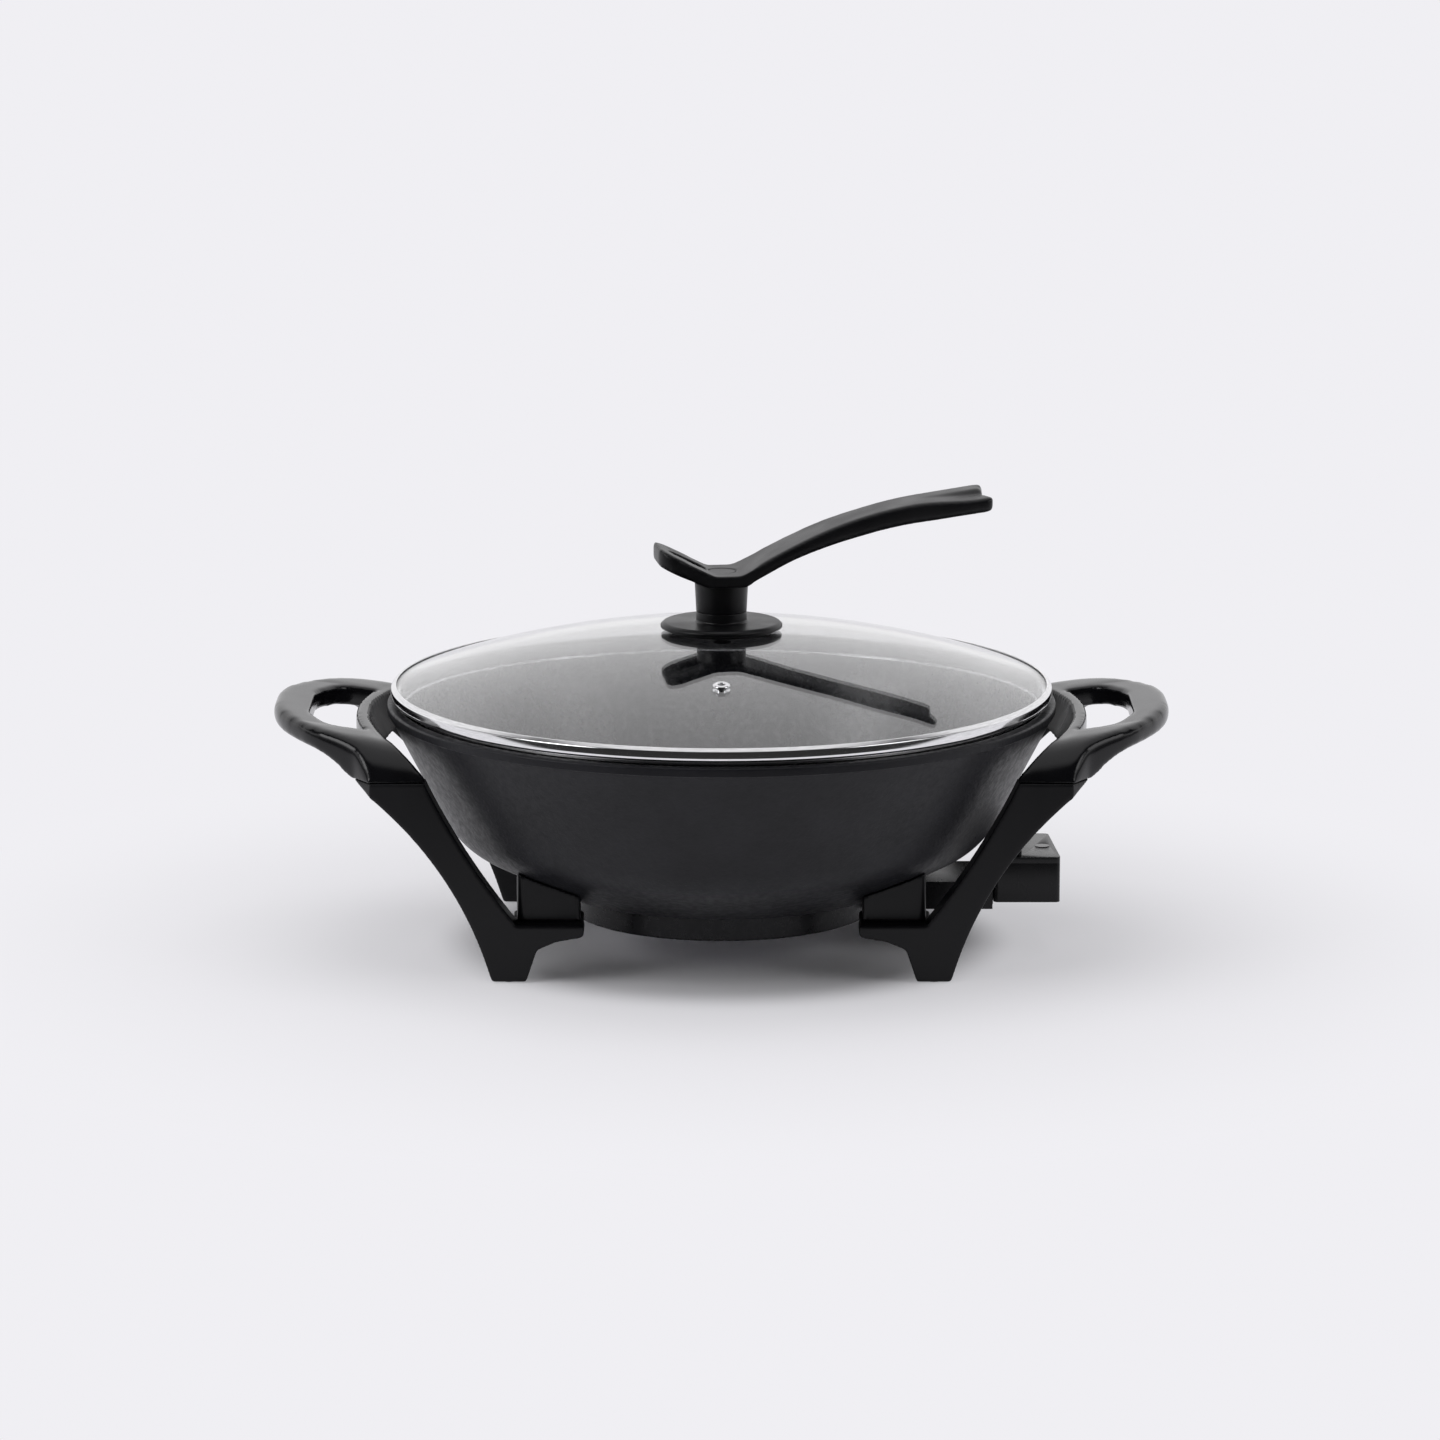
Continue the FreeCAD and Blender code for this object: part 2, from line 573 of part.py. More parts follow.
    leg_screw = screw("leg_screw", S.boss_low + boss_height() - S.boss_radius - S.head_seat_height, across,
                      -along, S.head_seat_height - S.head_height, radius=S.screw_radius * 0.68)
    keep(four("leg_screws", leg_screw))
    side_screw = screw("handle_screw", S.plate_thickness / 2, tenon_middle(), back_face + S.head_height,
                       tenon_z, FreeCAD.Rotation(X, 90), radius=side_screw_radius(),
                       head=S.head_radius * 0.8)
    keep(four("handle_screws", side_screw))


def four(label, piece):
    """The piece at all four legs, as separate solids."""
    across = mirrored(f"{label}_left", piece, X)
    return group(label, [piece, across, mirrored(f"{label}_rear", piece, Y),
                         mirrored(f"{label}_rear_left", across, Y)])


def tenon_middle():
    """Distance of each tenon's middle from the bowl's axis, along X."""
    return (S.seam_outer + S.seam_inner) / 2 - 3.5


def side_screw_radius():
    """Shank radius of the screws that hold the side handles' tenons."""
    return S.screw_radius * 0.63


def bevel_line():
    """Start and end (x, y) of the slanted edge that legs and handles share in plan."""
    return (S.seam_outer + 0.5, S.plate_middle - 6), (S.seam_outer - 9.9, S.plate_middle + 10)


# ---------------------------------------------------------------- side handles
def build_handles():
    """Two looped grips, each an arch over its front and rear leg with a finger hole."""
    outer = S.plate_middle + S.plate_thickness / 2
    inner = S.plate_middle - S.plate_thickness / 2
    top = S.handle_top + S.handle_thickness / 2
    low = top - S.handle_thickness
    foot = S.seam_height - 20
    tall = (S.handle_top + S.handle_thickness) * 2
    arch = padded("handle_arch", "YZ_Plane", [
        (-outer, foot), (-outer, top, S.arch_bend), (outer, top, S.arch_bend), (outer, foot),
        (inner, foot), (inner, low, S.arch_inner_bend), (-inner, low, S.arch_inner_bend), (-inner, foot),
    ], S.handle_reach)
    mid_reach = (S.handle_reach + S.handle_inner_radius) / 2
    place(arch, mid_reach, 0, 0, FreeCAD.Rotation(Y, -S.handle_tilt.value))
    arch.setExpression("Placement.Rotation.Angle", f"-{S.handle_tilt.text}")
    (bevel_x, bevel_y), (end_x, end_y) = bevel_line()
    cheek_x, cheek_y = S.handle_reach - 19.7, S.hole_half + 13.5
    front_half = S.hole_half * 0.63
    plan = padded("handle_plan", "XY_Plane", [
        (S.handle_reach, -front_half, 80), (cheek_x, -cheek_y, 34), (bevel_x, -bevel_y), (end_x, -end_y),
        (S.seam_inner, -end_y), (S.seam_inner, end_y),
        (end_x, end_y), (bevel_x, bevel_y), (cheek_x, cheek_y, 34), (S.handle_reach, front_half, 80),
    ], tall)
    lean_low = S.handle_inner_radius - (S.handle_top - foot) * S.handle_lean
    bowl_side = turned("handle_bowl_side", [
        (0, foot), (lean_low, foot), (S.handle_inner_radius, S.handle_top),
        (S.handle_inner_radius, S.handle_top + S.handle_thickness * 2), (0, S.handle_top + S.handle_thickness * 2),
    ])
    room = box("handle_below_seam", (0, -end_y - 1, 0), (S.handle_reach * 1.2, end_y + 1, S.seam_height))
    rise = tangent(S.handle_tilt)
    cheek_end = bevel_x + S.cheek_length
    past = S.handle_reach * 1.1
    under = padded("handle_underside", "XZ_Plane", [
        (bevel_x, S.seam_height), (cheek_end, low + (cheek_end - mid_reach) * rise - 0.1),
        (past, low + (past - mid_reach) * rise - 0.1), (past, foot), (bevel_x, foot),
    ], end_y * 2 + 2)
    side_x = S.hole_outer - 11
    opening = padded("handle_opening", "XY_Plane", [
        (S.handle_inner_radius * 0.9, -S.hole_half), (side_x, -S.hole_half, S.hole_side_bend),
        (S.hole_outer, -S.hole_half + 21.5, S.hole_end_bend), (S.hole_outer, S.hole_half - 21.5, S.hole_end_bend),
        (side_x, S.hole_half, S.hole_side_bend), (S.handle_inner_radius * 0.9, S.hole_half),
    ], tall)
    hole = cut("handle_hole", opening, [rod("handle_rail", S.hole_inner, tall)])
    loop = cut("handle_loop", common("handle_blank", [arch, plan]), [bowl_side, room, under, hole])
    rib_low = low - S.rib_depth
    rib_half = inner - S.head_height - S.seat_gap * 2
    rib = common("handle_rib_blank", [
        padded("handle_rib_outline", "YZ_Plane", [
            (-rib_half, low + 1), (-rib_half, rib_low - 5), (-rib_half + 13, rib_low, 18),
            (rib_half - 13, rib_low, 18), (rib_half, rib_low - 5), (rib_half, low + 1),
        ], S.handle_reach, middle=False),
        rod("handle_rib_outside", S.handle_inner_radius + S.rib_width, tall),
    ])
    rib = cut("handle_rib", rib, [bowl_side])
    tenons = []
    for side, name in ((1, "rear"), (-1, "front")):
        middle = S.plate_middle * side
        tenon = box(f"handle_tenon_{name}_blank",
                    (tenon_middle() - S.tenon_length / 2, middle - S.tenon_width / 2,
                     S.seam_height - S.tenon_depth),
                    (tenon_middle() + S.tenon_length / 2, middle + S.tenon_width / 2, S.seam_height + 1))
        bore = rod(f"handle_tenon_bore_{name}", side_screw_radius(), S.plate_thickness, tenon_middle(),
                   middle + S.plate_thickness / 2, S.seam_height - S.tenon_depth / 2, FreeCAD.Rotation(X, 90))
        tenons.append(cut(f"handle_tenon_{name}", tenon, [bore]))
    right = keep(fuse("handle_right", [loop, rib] + tenons))
    keep(mirrored("handle_left", right, X))


# ---------------------------------------------------------------- lid
def dome_at(radius, sphere):
    """Height of a sphere about the dome's centre, at a distance from the axis."""
    centre = S.dome_height - S.dome_radius
    return centre + root(sphere * sphere - radius * radius)


def ball(label, radius, z):
    """A sphere on the axis."""
    sphere = doc.addObject("Part::Sphere", label)
    bind(sphere, "Radius", radius)
    return place(sphere, 0, 0, z)


def build_lid():
    """Glass dome, steel rim band and vent grommet."""
    centre = S.dome_height - S.dome_radius
    inner_sphere = S.dome_radius - S.glass_thickness
    blank = rod("glass_blank", S.glass_radius, S.dome_height - S.band_low, 0, 0, S.band_low)
    shell = common("glass_cap", [blank, ball("glass_outside", S.dome_radius, centre)])
    lean = math.degrees(math.asin(S.vent_place.value / S.dome_radius.value))
    vent_turn = FreeCAD.Rotation(X, lean)
    vent_z = dome_at(S.vent_place, S.dome_radius)
    bolt_hole = rod("glass_bolt_hole", S.screw_radius + 1.4, 60, 0, 0, S.dome_height - 40)
    vent_hole = rod("glass_vent_hole", S.vent_shank + 0.3, 20, 0,
                    -S.vent_place + math.sin(math.radians(lean)) * 10,
                    vent_z - math.cos(math.radians(lean)) * 10, vent_turn)
    keep(cut("lid_glass", shell, [ball("glass_inside", inner_sphere, centre), bolt_hole, vent_hole]))

    skirt_inner = S.skirt_radius - S.band_sheet
    ledge = S.rim_height - S.ledge_depth
    bottom = S.band_low + S.band_sheet
    keep(turned("lid_rim_band", [
        (skirt_inner, ledge + S.seat_gap), (S.skirt_radius, ledge + S.seat_gap),
        (S.skirt_radius, S.band_low), (S.lid_radius, S.band_low, 0.6), (S.lid_radius, S.band_high, 2),
        (S.lip_inner, S.band_high, 0.3), (S.lip_inner, S.band_high - S.band_sheet),
        (S.lid_radius - S.band_sheet, S.band_high - S.band_sheet, 1.1), (S.lid_radius - S.band_sheet, bottom),
        (skirt_inner, bottom),
    ]))
    glass = S.glass_thickness
    grommet = turned("vent_grommet", [
        (S.vent_bore, -glass - 1.2), (S.vent_radius, -glass - 1.2, 0.5), (S.vent_radius, -glass - 0.35),
        (S.vent_shank, -glass - 0.35), (S.vent_shank, 0.15), (S.vent_radius, 0.15),
        (S.vent_radius, 1.5, 0.9), (S.vent_bore, 1.5, 0.5),
    ])
    keep(place(grommet, 0, -S.vent_place, vent_z, vent_turn))


def build_knob():
    """Base disc, stem, lever grip, seals, screws and cap."""
    seat = dome_at(S.knob_radius - 2, S.dome_radius)
    disc_low = seat + S.seal_height
    keep(turned("knob_base", [
        (S.screw_radius + 0.2, disc_low + 0.6), (S.knob_radius - 3, disc_low + 0.6, 0.6),
        (S.knob_radius - 2, disc_low, 0.4), (S.knob_radius, disc_low + 0.4, 0.8),
        (S.knob_radius, S.knob_top, 2.4), (S.stem_foot_radius, S.knob_top, 1.2),
        (S.stem_foot_radius, S.stem_low, 0.5), (S.screw_radius + 0.2, S.stem_low),
    ]))
    seal_inner = S.knob_radius - 8
    keep(turned("knob_seal", [
        (seal_inner, dome_at(seal_inner, S.dome_radius) + S.seat_gap / 3),
        (S.knob_radius - 3.2, dome_at(seal_inner, S.dome_radius) + S.seat_gap / 3),
        (S.knob_radius - 3.2, disc_low + 0.5), (seal_inner, disc_low + 0.5),
    ]))
    keep(turned("knob_stem", [
        (S.screw_radius * 0.8, S.stem_low), (S.stem_foot_radius, S.stem_low, 0.5),
        (S.stem_head_radius, S.stem_top), (S.screw_radius * 0.8, S.stem_top),
    ]))
    under = dome_at(dim(0), S.dome_radius - S.glass_thickness)
    washer_top = under - S.seal_height
    keep(turned("inner_seal", [
        (S.screw_radius + 0.3, washer_top), (S.head_radius * 2.4, washer_top),
        (S.head_radius * 2.4, under - 0.2), (S.screw_radius + 0.3, under - 0.2),
    ]))
    keep(turned("lid_washer", [
        (S.screw_radius + 0.2, washer_top - 1.2), (S.head_radius * 2.2, washer_top - 1.2, 0.4),
        (S.head_radius * 2.2, washer_top), (S.screw_radius + 0.2, washer_top),
    ]))
    screw_low = washer_top - 1.2 - S.head_height
    reach = S.knob_top + (S.stem_top - S.knob_top) * 0.55 - washer_top + 1.2
    keep(screw("lid_screw", reach, 0, 0, screw_low, radius=S.screw_radius * 0.78), "lid_screw")
    build_grip()


def build_grip():
    """The lever grip: side profile and plan shape in common, with thumb slot, notch and screw pocket."""
    valley = S.stem_top + S.valley_thickness
    thick = S.grip_thickness
    tail = valley + S.tail_rise
    knee_x = S.tail_reach * 0.52
    knee = valley + S.tail_rise * 0.775
    profile = padded("grip_profile", "XZ_Plane", [
        (-S.thumb_reach - 2, valley + S.thumb_rise + 1), (-S.cap_radius + 1.5, valley, 8),
        (S.cap_radius + 0.4, valley, 10), (knee_x, knee, 190), (S.tail_reach + 2, tail + 0.3),
        (S.tail_reach + 2, tail + 0.3 - thick), (knee_x + 3, knee - thick, 190),
        (S.stem_head_radius + 2, S.stem_top + 3.2, 20),
        (S.stem_head_radius - 3, S.stem_top, 6), (-S.stem_head_radius + 4, S.stem_top, 8),
        (-S.thumb_reach - 2, valley + S.thumb_rise + 1 - thick),
    ], S.grip_width * 2)
    half, slim = S.grip_width / 2, S.waist_grip_width / 2
    plan = padded("grip_plan", "XY_Plane", [
        (-S.thumb_reach, -half, 9), (S.cap_radius, -half, 60), (S.tail_reach * 0.5, -slim, 120),
        (S.tail_reach, -half * 0.9, 3), (S.tail_reach - S.notch_depth, 0),
        (S.tail_reach - S.notch_depth * 0.4, half * 0.9, 3), (S.tail_reach * 0.5, slim, 120), (S.cap_radius, half, 60),
        (-S.thumb_reach, half, 9),
    ], S.tail_rise * 2, middle=False)
    place(plan, 0, 0, S.stem_top - 1)
    start, end = -S.slot_place - S.slot_length / 2, -S.slot_place + S.slot_length / 2
    slot_half = S.slot_width / 2
    opening = padded("grip_slot_blank", "XY_Plane", [
        (start, -slot_half, 4.5), (end, -slot_half, 4.5), (end, slot_half, 4.5), (start, slot_half, 4.5),
    ], S.tail_rise, middle=False)
    place(opening, 0, 0, S.stem_top - 1)
    ribs = [rod(f"grip_slot_rib_{number}", S.slot_rib, S.tail_rise, S.slot_pitch * number - S.slot_place,
                -slot_half, S.stem_top - 1) for number in (-2, -1, 0, 1, 2)]
    slot = cut("grip_slot", opening, ribs)
    pocket_low = valley - S.cap_height
    pocket = rod("grip_cap_pocket", S.cap_radius + 0.1, 20, 0, 0, pocket_low)
    head_pocket = rod("grip_head_pocket", S.head_radius + 0.1, 20, 0, 0, S.stem_top + 0.6)
    shank_hole = rod("grip_shank_hole", S.screw_radius + 0.2, 20, 0, 0, S.stem_top - 5)
    turn = FreeCAD.Rotation(Z, S.grip_turn.value)
    grip = cut("knob_grip", common("grip_blank", [profile, plan]), [slot, pocket, head_pocket, shank_hole])
    place(grip, 0, 0, 0, turn)
    grip.setExpression("Placement.Rotation.Angle", S.grip_turn.text)
    keep(grip)
    keep(rod("knob_cap", S.cap_radius, S.cap_height - 0.1, 0, 0, pocket_low + 0.05))
    head_top = S.stem_top + 0.6 + S.head_height
    keep(screw("grip_screw", (S.stem_top - S.knob_top) * 0.38, 0, 0, head_top, HALF_TURN_X,
               radius=S.screw_radius * 0.78), "grip_screw")


# ---------------------------------------------------------------- terminal shroud
def shroud_screw_height():
    """Height of the two screws that hold the shroud to the base ring."""
    return S.shroud_low + 3.4


def shroud_screw_head():
    """Head radius of the two screws that hold the shroud."""
    return S.head_radius * 0.3


def shroud_screw_across():
    """Distance of the shroud's screws from the terminals' plane of symmetry."""
    return S.shroud_half - S.shroud_wall - shroud_screw_head() - S.seat_gap


def build_shroud():
    """The fixed shroud round the heater's terminals, open to the right."""
    blank = box("shroud_blank", (S.ring_radius - 14, -S.shroud_half, S.shroud_low),
                (S.shroud_end, S.shroud_half, S.shroud_high))
    back_wall = S.ring_radius + 6.5
    hollow = box("shroud_hollow", (back_wall, -S.shroud_half + S.shroud_wall, S.shroud_low + S.shroud_wall),
                 (S.shroud_end + 1, S.shroud_half - S.shroud_wall, S.shroud_high - S.shroud_wall))
    ring_room = rod("shroud_ring_room", S.ring_radius + 0.05, S.rim_height, 0, 0, 0)
    envelope = bowl_outside("shroud_bowl_room", S.seat_gap)
    probe_half = S.probe_radius * 2
    probe_room = box("shroud_probe_room", (S.ring_radius - 1, -probe_half - 0.3, S.socket_height - 4.3),
                     (back_wall + 1, probe_half + 0.3, S.shroud_high + 1))
    pins, screws = [], []
    for side in (1, -1):
        pins.append(rod(f"shroud_pin_hole_{side}", S.tube_radius + S.seat_gap, 30, S.ring_radius - 8,
                        S.terminal_spacing * side, S.socket_height, ALONG_X))
        across = shroud_screw_across() * side
        pins.append(rod(f"shroud_screw_hole_{side}", 1.3, 30, S.ring_radius - 8, across, shroud_screw_height(),
                        ALONG_X))
        screws.append(screw(f"shroud_screw_{side}", 12, back_wall + S.head_height, across,
                            shroud_screw_height(), FreeCAD.Rotation(Y, -90), radius=S.screw_radius * 0.5,
                            head=shroud_screw_head()))
    keep(cut("terminal_shroud", blank, [hollow, ring_room, envelope, probe_room] + pins))
    keep(group("shroud_screws", screws))


# ---------------------------------------------------------------- plug-in controller
def box_plan(inset, bend):
    """Plan outline of the controller's box, moved in by an inset."""
    taper = S.box_taper / (S.box_half * 2)
    near = S.box_end - inset - taper * inset
    far = S.box_end - S.box_taper - inset + taper * inset
    half = S.box_half - inset
    return [(S.box_start + inset, -half, bend), (near, -half, bend), (far, half, bend),
            (S.box_start + inset, half, bend)]


def build_case():
    """The controller's lower box with its nose, the cover and the two screws that hold them."""
    inner_low = S.box_low + S.box_wall
    room_half = S.nose_half - S.nose_wall
    room_end = S.box_start - S.nose_wall
    room_top = S.nose_high - S.nose_wall
    shell = padded("case_shell", "XY_Plane", box_plan(dim(0), S.box_bend), S.box_depth, middle=False)
    place(shell, 0, 0, S.box_low)
    nose = box("case_nose", (S.nose_end, -S.nose_half, S.nose_low), (S.box_start, S.nose_half, S.nose_high))
    room = padded("case_room", "XY_Plane", box_plan(S.box_wall, S.box_bend / 2), S.box_split, middle=False)
    place(room, 0, 0, inner_low)
    tools = [
        room,
        box("case_nose_room", (S.nose_end + 2, -room_half, S.nose_low + S.nose_wall),
            (room_end, room_half, room_top)),
        box("case_wire_way", (room_end - 1, -room_half, inner_low),
            (S.box_start + S.box_wall + 1, room_half, room_top)),
        rod("case_probe_hole", S.probe_radius + S.press_gap, 4, S.nose_end - 1, 0, S.socket_height, ALONG_X),
        rod("case_shaft_hole", S.shaft_radius + S.shaft_clearance, S.box_wall + 2, S.dial_place,
            S.box_half - S.box_wall - 1, S.dial_height, ALONG_Y),
        rod("case_gland_hole", gland_neck(), S.box_wall + 4, S.gland_place, S.box_half - S.box_wall - 2,
            S.gland_height, ALONG_Y),
    ]
    for side in (1, -1):
        tools.append(rod(f"case_contact_hole_{side}", S.pin_radius + S.plug_gap, 4, S.nose_end - 1,
                         S.terminal_spacing * side, S.socket_height, ALONG_X))
    head = S.post_screw_radius * 2
    posts, post_holes, cover_holes, screws = [], [], [], []
    for number, post_x in enumerate((S.box_start + 6.2, S.box_end - 9.5)):
        spot = (post_x, -S.box_half + 6.2)
        posts.append(rod(f"case_post_{number}", S.post_radius, S.box_depth, *spot, S.box_low))
        post_holes.append(rod(f"case_post_hole_{number}", S.post_screw_radius + 0.25, S.box_depth + 2, *spot,
                              S.box_low - 1))
        post_holes.append(rod(f"case_head_hole_{number}", head + 0.2, S.head_height + 1.2, *spot,
                              S.box_low - 1))
        cover_holes.append(rod(f"cover_screw_hole_{number}", S.post_screw_radius + S.press_gap,
                               S.cover_thickness * 0.7 + 1, *spot, S.box_split - 1))
        screws.append(screw(f"case_screw_{number}", S.box_depth - S.head_height + S.cover_thickness * 0.6, *spot,
                            S.box_low, radius=S.post_screw_radius, head=head))
    hollow = cut("case_hollow", fuse("case_blank", [shell, nose]), tools)
    keep(cut("controller_base", fuse("case_posted", [hollow] + posts), post_holes))
    keep(group("controller_screws", screws))

    plate = padded("case_cover_plate", "XY_Plane", box_plan(dim(0), S.box_bend), S.cover_thickness, middle=False)
    place(plate, 0, 0, S.box_split)
    step_start = S.box_start + 2
    step = padded("case_cover_step", "XY_Plane", [
        (step_start, -S.step_half, 2), (S.step_end, -S.step_half, 2), (S.step_end, S.step_half, 2),
        (step_start, S.step_half, 2),
    ], S.step_height + 1, middle=False)
    place(step, 0, 0, S.box_high - 1)
    lamp_y = -S.lamp_across
    lens_low = S.box_high - S.cover_thickness / 2
    lamp_hole = rod("cover_lamp_hole", S.lamp_radius + S.press_gap, 10, S.lamp_place, lamp_y, lens_low)
    lamp_way = rod("cover_lamp_way", S.lamp_radius - 1, 10, S.lamp_place, lamp_y, S.box_split - 1)
    keep(cut("controller_cover", fuse("cover_blank", [plate, step]), [lamp_hole, lamp_way] + cover_holes))
    keep(rod("pilot_lens", S.lamp_radius, S.cover_thickness / 2 + 0.2, S.lamp_place, lamp_y, lens_low))
    bulb_radius = S.lamp_radius - 1 - S.press_gap
    bulb_low = lens_low - 8
    bulb = rod("lamp_tube", bulb_radius, lens_low - bulb_low, S.lamp_place, lamp_y, bulb_low)
    bulb_end = place(ball("lamp_end", bulb_radius, 0), S.lamp_place, lamp_y, bulb_low)
    keep(fuse("pilot_lamp", [bulb, bulb_end]))


def build_controller():
    """The parts in the controller's case: probe, contacts, thermostat and cord gland."""
    build_case()
    inner_low = S.box_low + S.box_wall
    room_half = S.nose_half - S.nose_wall
    back = S.box_start - S.nose_wall - 0.5
    keep(rod("probe", S.probe_radius, back - S.probe_tip, S.probe_tip, 0, S.socket_height, ALONG_X))
    start = S.nose_end + 2
    contacts = []
    for side, name in ((1, "rear"), (-1, "front")):
        across = S.terminal_spacing * side
        sleeve = rod(f"contact_sleeve_{name}", S.sleeve_radius, back - start, start, across, S.socket_height,
                     ALONG_X)
        bore = rod(f"contact_bore_{name}", S.pin_radius + 0.15, S.pin_tip - start + 3, start - 1, across,
                   S.socket_height, ALONG_X)
        contacts.append(cut(f"contact_{name}", sleeve, [bore]))
    keep(group("contact_sleeves", contacts))
    carrier = box("carrier_blank", (back - 8, -room_half, S.nose_low + S.nose_wall),
                  (back - 4, room_half, S.nose_high - S.nose_wall))
    carrier_holes = [rod("carrier_probe_hole", S.probe_radius + S.press_gap, 12, back - 12, 0, S.socket_height,
                         ALONG_X)]
    for side in (1, -1):
        carrier_holes.append(rod(f"carrier_hole_{side}", S.sleeve_radius + S.press_gap, 12, back - 12,
                                 S.terminal_spacing * side, S.socket_height, ALONG_X))
    keep(cut("contact_carrier", carrier, carrier_holes))

    frame_start = S.box_start + S.box_wall + 3
    sheet_metal = 1.2
    strap = box("thermostat_strap", (frame_start, -5, inner_low), (frame_start + 14, 5, inner_low + sheet_metal))
    upright = box("thermostat_upright", (frame_start, -5, inner_low),
                  (frame_start + sheet_metal, 5, inner_low + S.box_depth / 2))
    keep(fuse("thermostat_frame", [strap, upright]))
    blades = []
    for number, share in enumerate((0.3, 0.42)):
        blade_low = inner_low + S.box_depth * share
        blades.append(box(f"blade_{number}", (frame_start + sheet_metal, -3, blade_low),
                          (frame_start + 14, 3, blade_low + 0.5)))
    keep(group("contact_blades", blades))

    wall = S.box_wall
    gland = turned("cord_gland", [
        (S.cord_radius, -wall - 3), (S.gland_radius, -wall - 3, 0.5), (S.gland_radius, -wall),
        (gland_neck() - S.press_gap, -wall), (gland_neck() - S.press_gap, 0), (S.gland_radius, 0),
        (S.gland_radius - 0.3, 6, 0.6), (S.cord_radius, 6),
    ])
    keep(place(gland, S.gland_place, S.box_half, S.gland_height, ALONG_Y))


def gland_neck():
    """Radius of the hole that the cord gland's neck sits in."""
    return S.gland_radius - 0.8


def build_dial():
    """The temperature dial on the box's rear side, with its shaft and cam."""
    face = S.box_half + 0.6
    dial = turned("dial_blank", [
        (0, 0), (S.dial_radius, 0, 0.5), (S.dial_radius - 0.5, S.dial_thickness, 1.2), (0, S.dial_thickness),
    ])
    place(dial, S.dial_place, face, S.dial_height, ALONG_Y)
    socket = rod("dial_socket", S.shaft_radius, S.dial_thickness / 2 + 1, S.dial_place, face - 1, S.dial_height,
                 ALONG_Y)
    pointer = box("dial_pointer", (S.dial_place - 0.6, face + S.dial_thickness - 0.6, S.dial_height + 3),
                  (S.dial_place + 0.6, face + S.dial_thickness + 1, S.dial_height + S.dial_radius - 1.5))
    keep(cut("temperature_dial", dial, [socket, pointer]))
    shaft_start = S.box_half - 10
    keep(rod("dial_shaft", S.shaft_radius, face + S.dial_thickness / 2 - shaft_start, S.dial_place, shaft_start,
             S.dial_height, ALONG_Y))
    cam_disc = rod("cam_disc", S.shaft_radius * 1.5, 2.5, S.dial_place + 1.2, shaft_start + 2, S.dial_height,
                   ALONG_Y)
    cam_bore = rod("cam_bore", S.shaft_radius, 6, S.dial_place, shaft_start, S.dial_height, ALONG_Y)
    keep(cut("dial_cam", cam_disc, [cam_bore]))


def write_parts():
    """Check every object of the document, then write each sub-part's solid."""
    doc.recompute()
    broken = [item.Label for item in doc.Objects if "Invalid" in item.State or "Error" in item.State]
    if broken:
        raise RuntimeError(f"features that failed: {broken}")
    os.makedirs("parts", exist_ok=True)
    for piece in NODES:
        shape = piece.Shape
        if shape.isNull() or not shape.isValid() or not shape.Solids:
            raise RuntimeError(f"{piece.Label} has no valid solid")
        shape.exportStep(f"parts/{piece.Label}.step")
        size = shape.BoundBox
        print(f"{piece.Label:20s} solids {len(shape.Solids)} volume {shape.Volume:12.1f} "
              f"x {size.XMin:7.1f} {size.XMax:7.1f} y {size.YMin:7.1f} {size.YMax:7.1f} "
              f"z {size.ZMin:7.1f} {size.ZMax:7.1f}")


build_bowl()
build_heater()
build_stand()
build_handles()
build_lid()
build_knob()
build_shroud()
build_controller()
build_dial()
write_parts()
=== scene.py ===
"""Looks of the electric wok: meshes, finishes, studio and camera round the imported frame.

Units are metres and +Z is up. The side handles lie along X and the front faces -Y.
"""

import json
import logging
import math
from dataclasses import dataclass
from enum import Enum
from typing import Callable, Sequence

import bmesh
import bpy
from mathutils import Matrix, Vector


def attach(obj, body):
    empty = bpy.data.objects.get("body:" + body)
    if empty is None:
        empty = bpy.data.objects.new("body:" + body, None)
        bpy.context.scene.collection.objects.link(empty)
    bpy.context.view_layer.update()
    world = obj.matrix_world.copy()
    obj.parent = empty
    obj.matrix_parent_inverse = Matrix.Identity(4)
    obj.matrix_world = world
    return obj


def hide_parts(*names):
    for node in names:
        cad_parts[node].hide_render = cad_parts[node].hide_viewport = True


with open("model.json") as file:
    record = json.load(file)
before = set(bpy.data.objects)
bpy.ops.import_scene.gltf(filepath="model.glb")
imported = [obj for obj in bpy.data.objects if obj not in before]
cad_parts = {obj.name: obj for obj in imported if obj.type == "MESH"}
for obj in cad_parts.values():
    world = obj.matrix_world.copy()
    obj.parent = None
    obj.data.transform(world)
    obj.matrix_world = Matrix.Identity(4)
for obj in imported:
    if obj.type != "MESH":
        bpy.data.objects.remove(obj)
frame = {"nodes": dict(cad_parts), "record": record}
LOG = logging.getLogger("wok")

MM = 0.001
TINY = 1e-6             # what counts as no length at all
BEND_STEPS = 6          # stretches in a rounded corner
SMOOTH_ANGLE = 35.0     # degrees up to which the faces of a new piece shade as one
ROD_BEND = 0.3          # millimetres of round at a rod's ends
ROD_STEPS = 40          # facets round a rod
FLAT_ANGLE = 2.0        # degrees below which two faces of a solid count as one
EDGE_ANGLE = 30.0       # degrees above which a solid's edge is broken
EASED_ANGLE = 40.0      # degrees up to which an eased piece shades as one
EASED_STEPS = 3         # stretches in a broken edge

Outline = Sequence[tuple[float, ...]]
Pair = tuple[float, float]
Triple = tuple[float, float, float]
Color = Triple
Piece = bpy.types.Object
Socket = bpy.types.NodeSocket


class Body(Enum):
    """The bodies that new pieces ride on."""

    STAND = "body"
    LID = "lid"
    CONTROLLER = "controller"


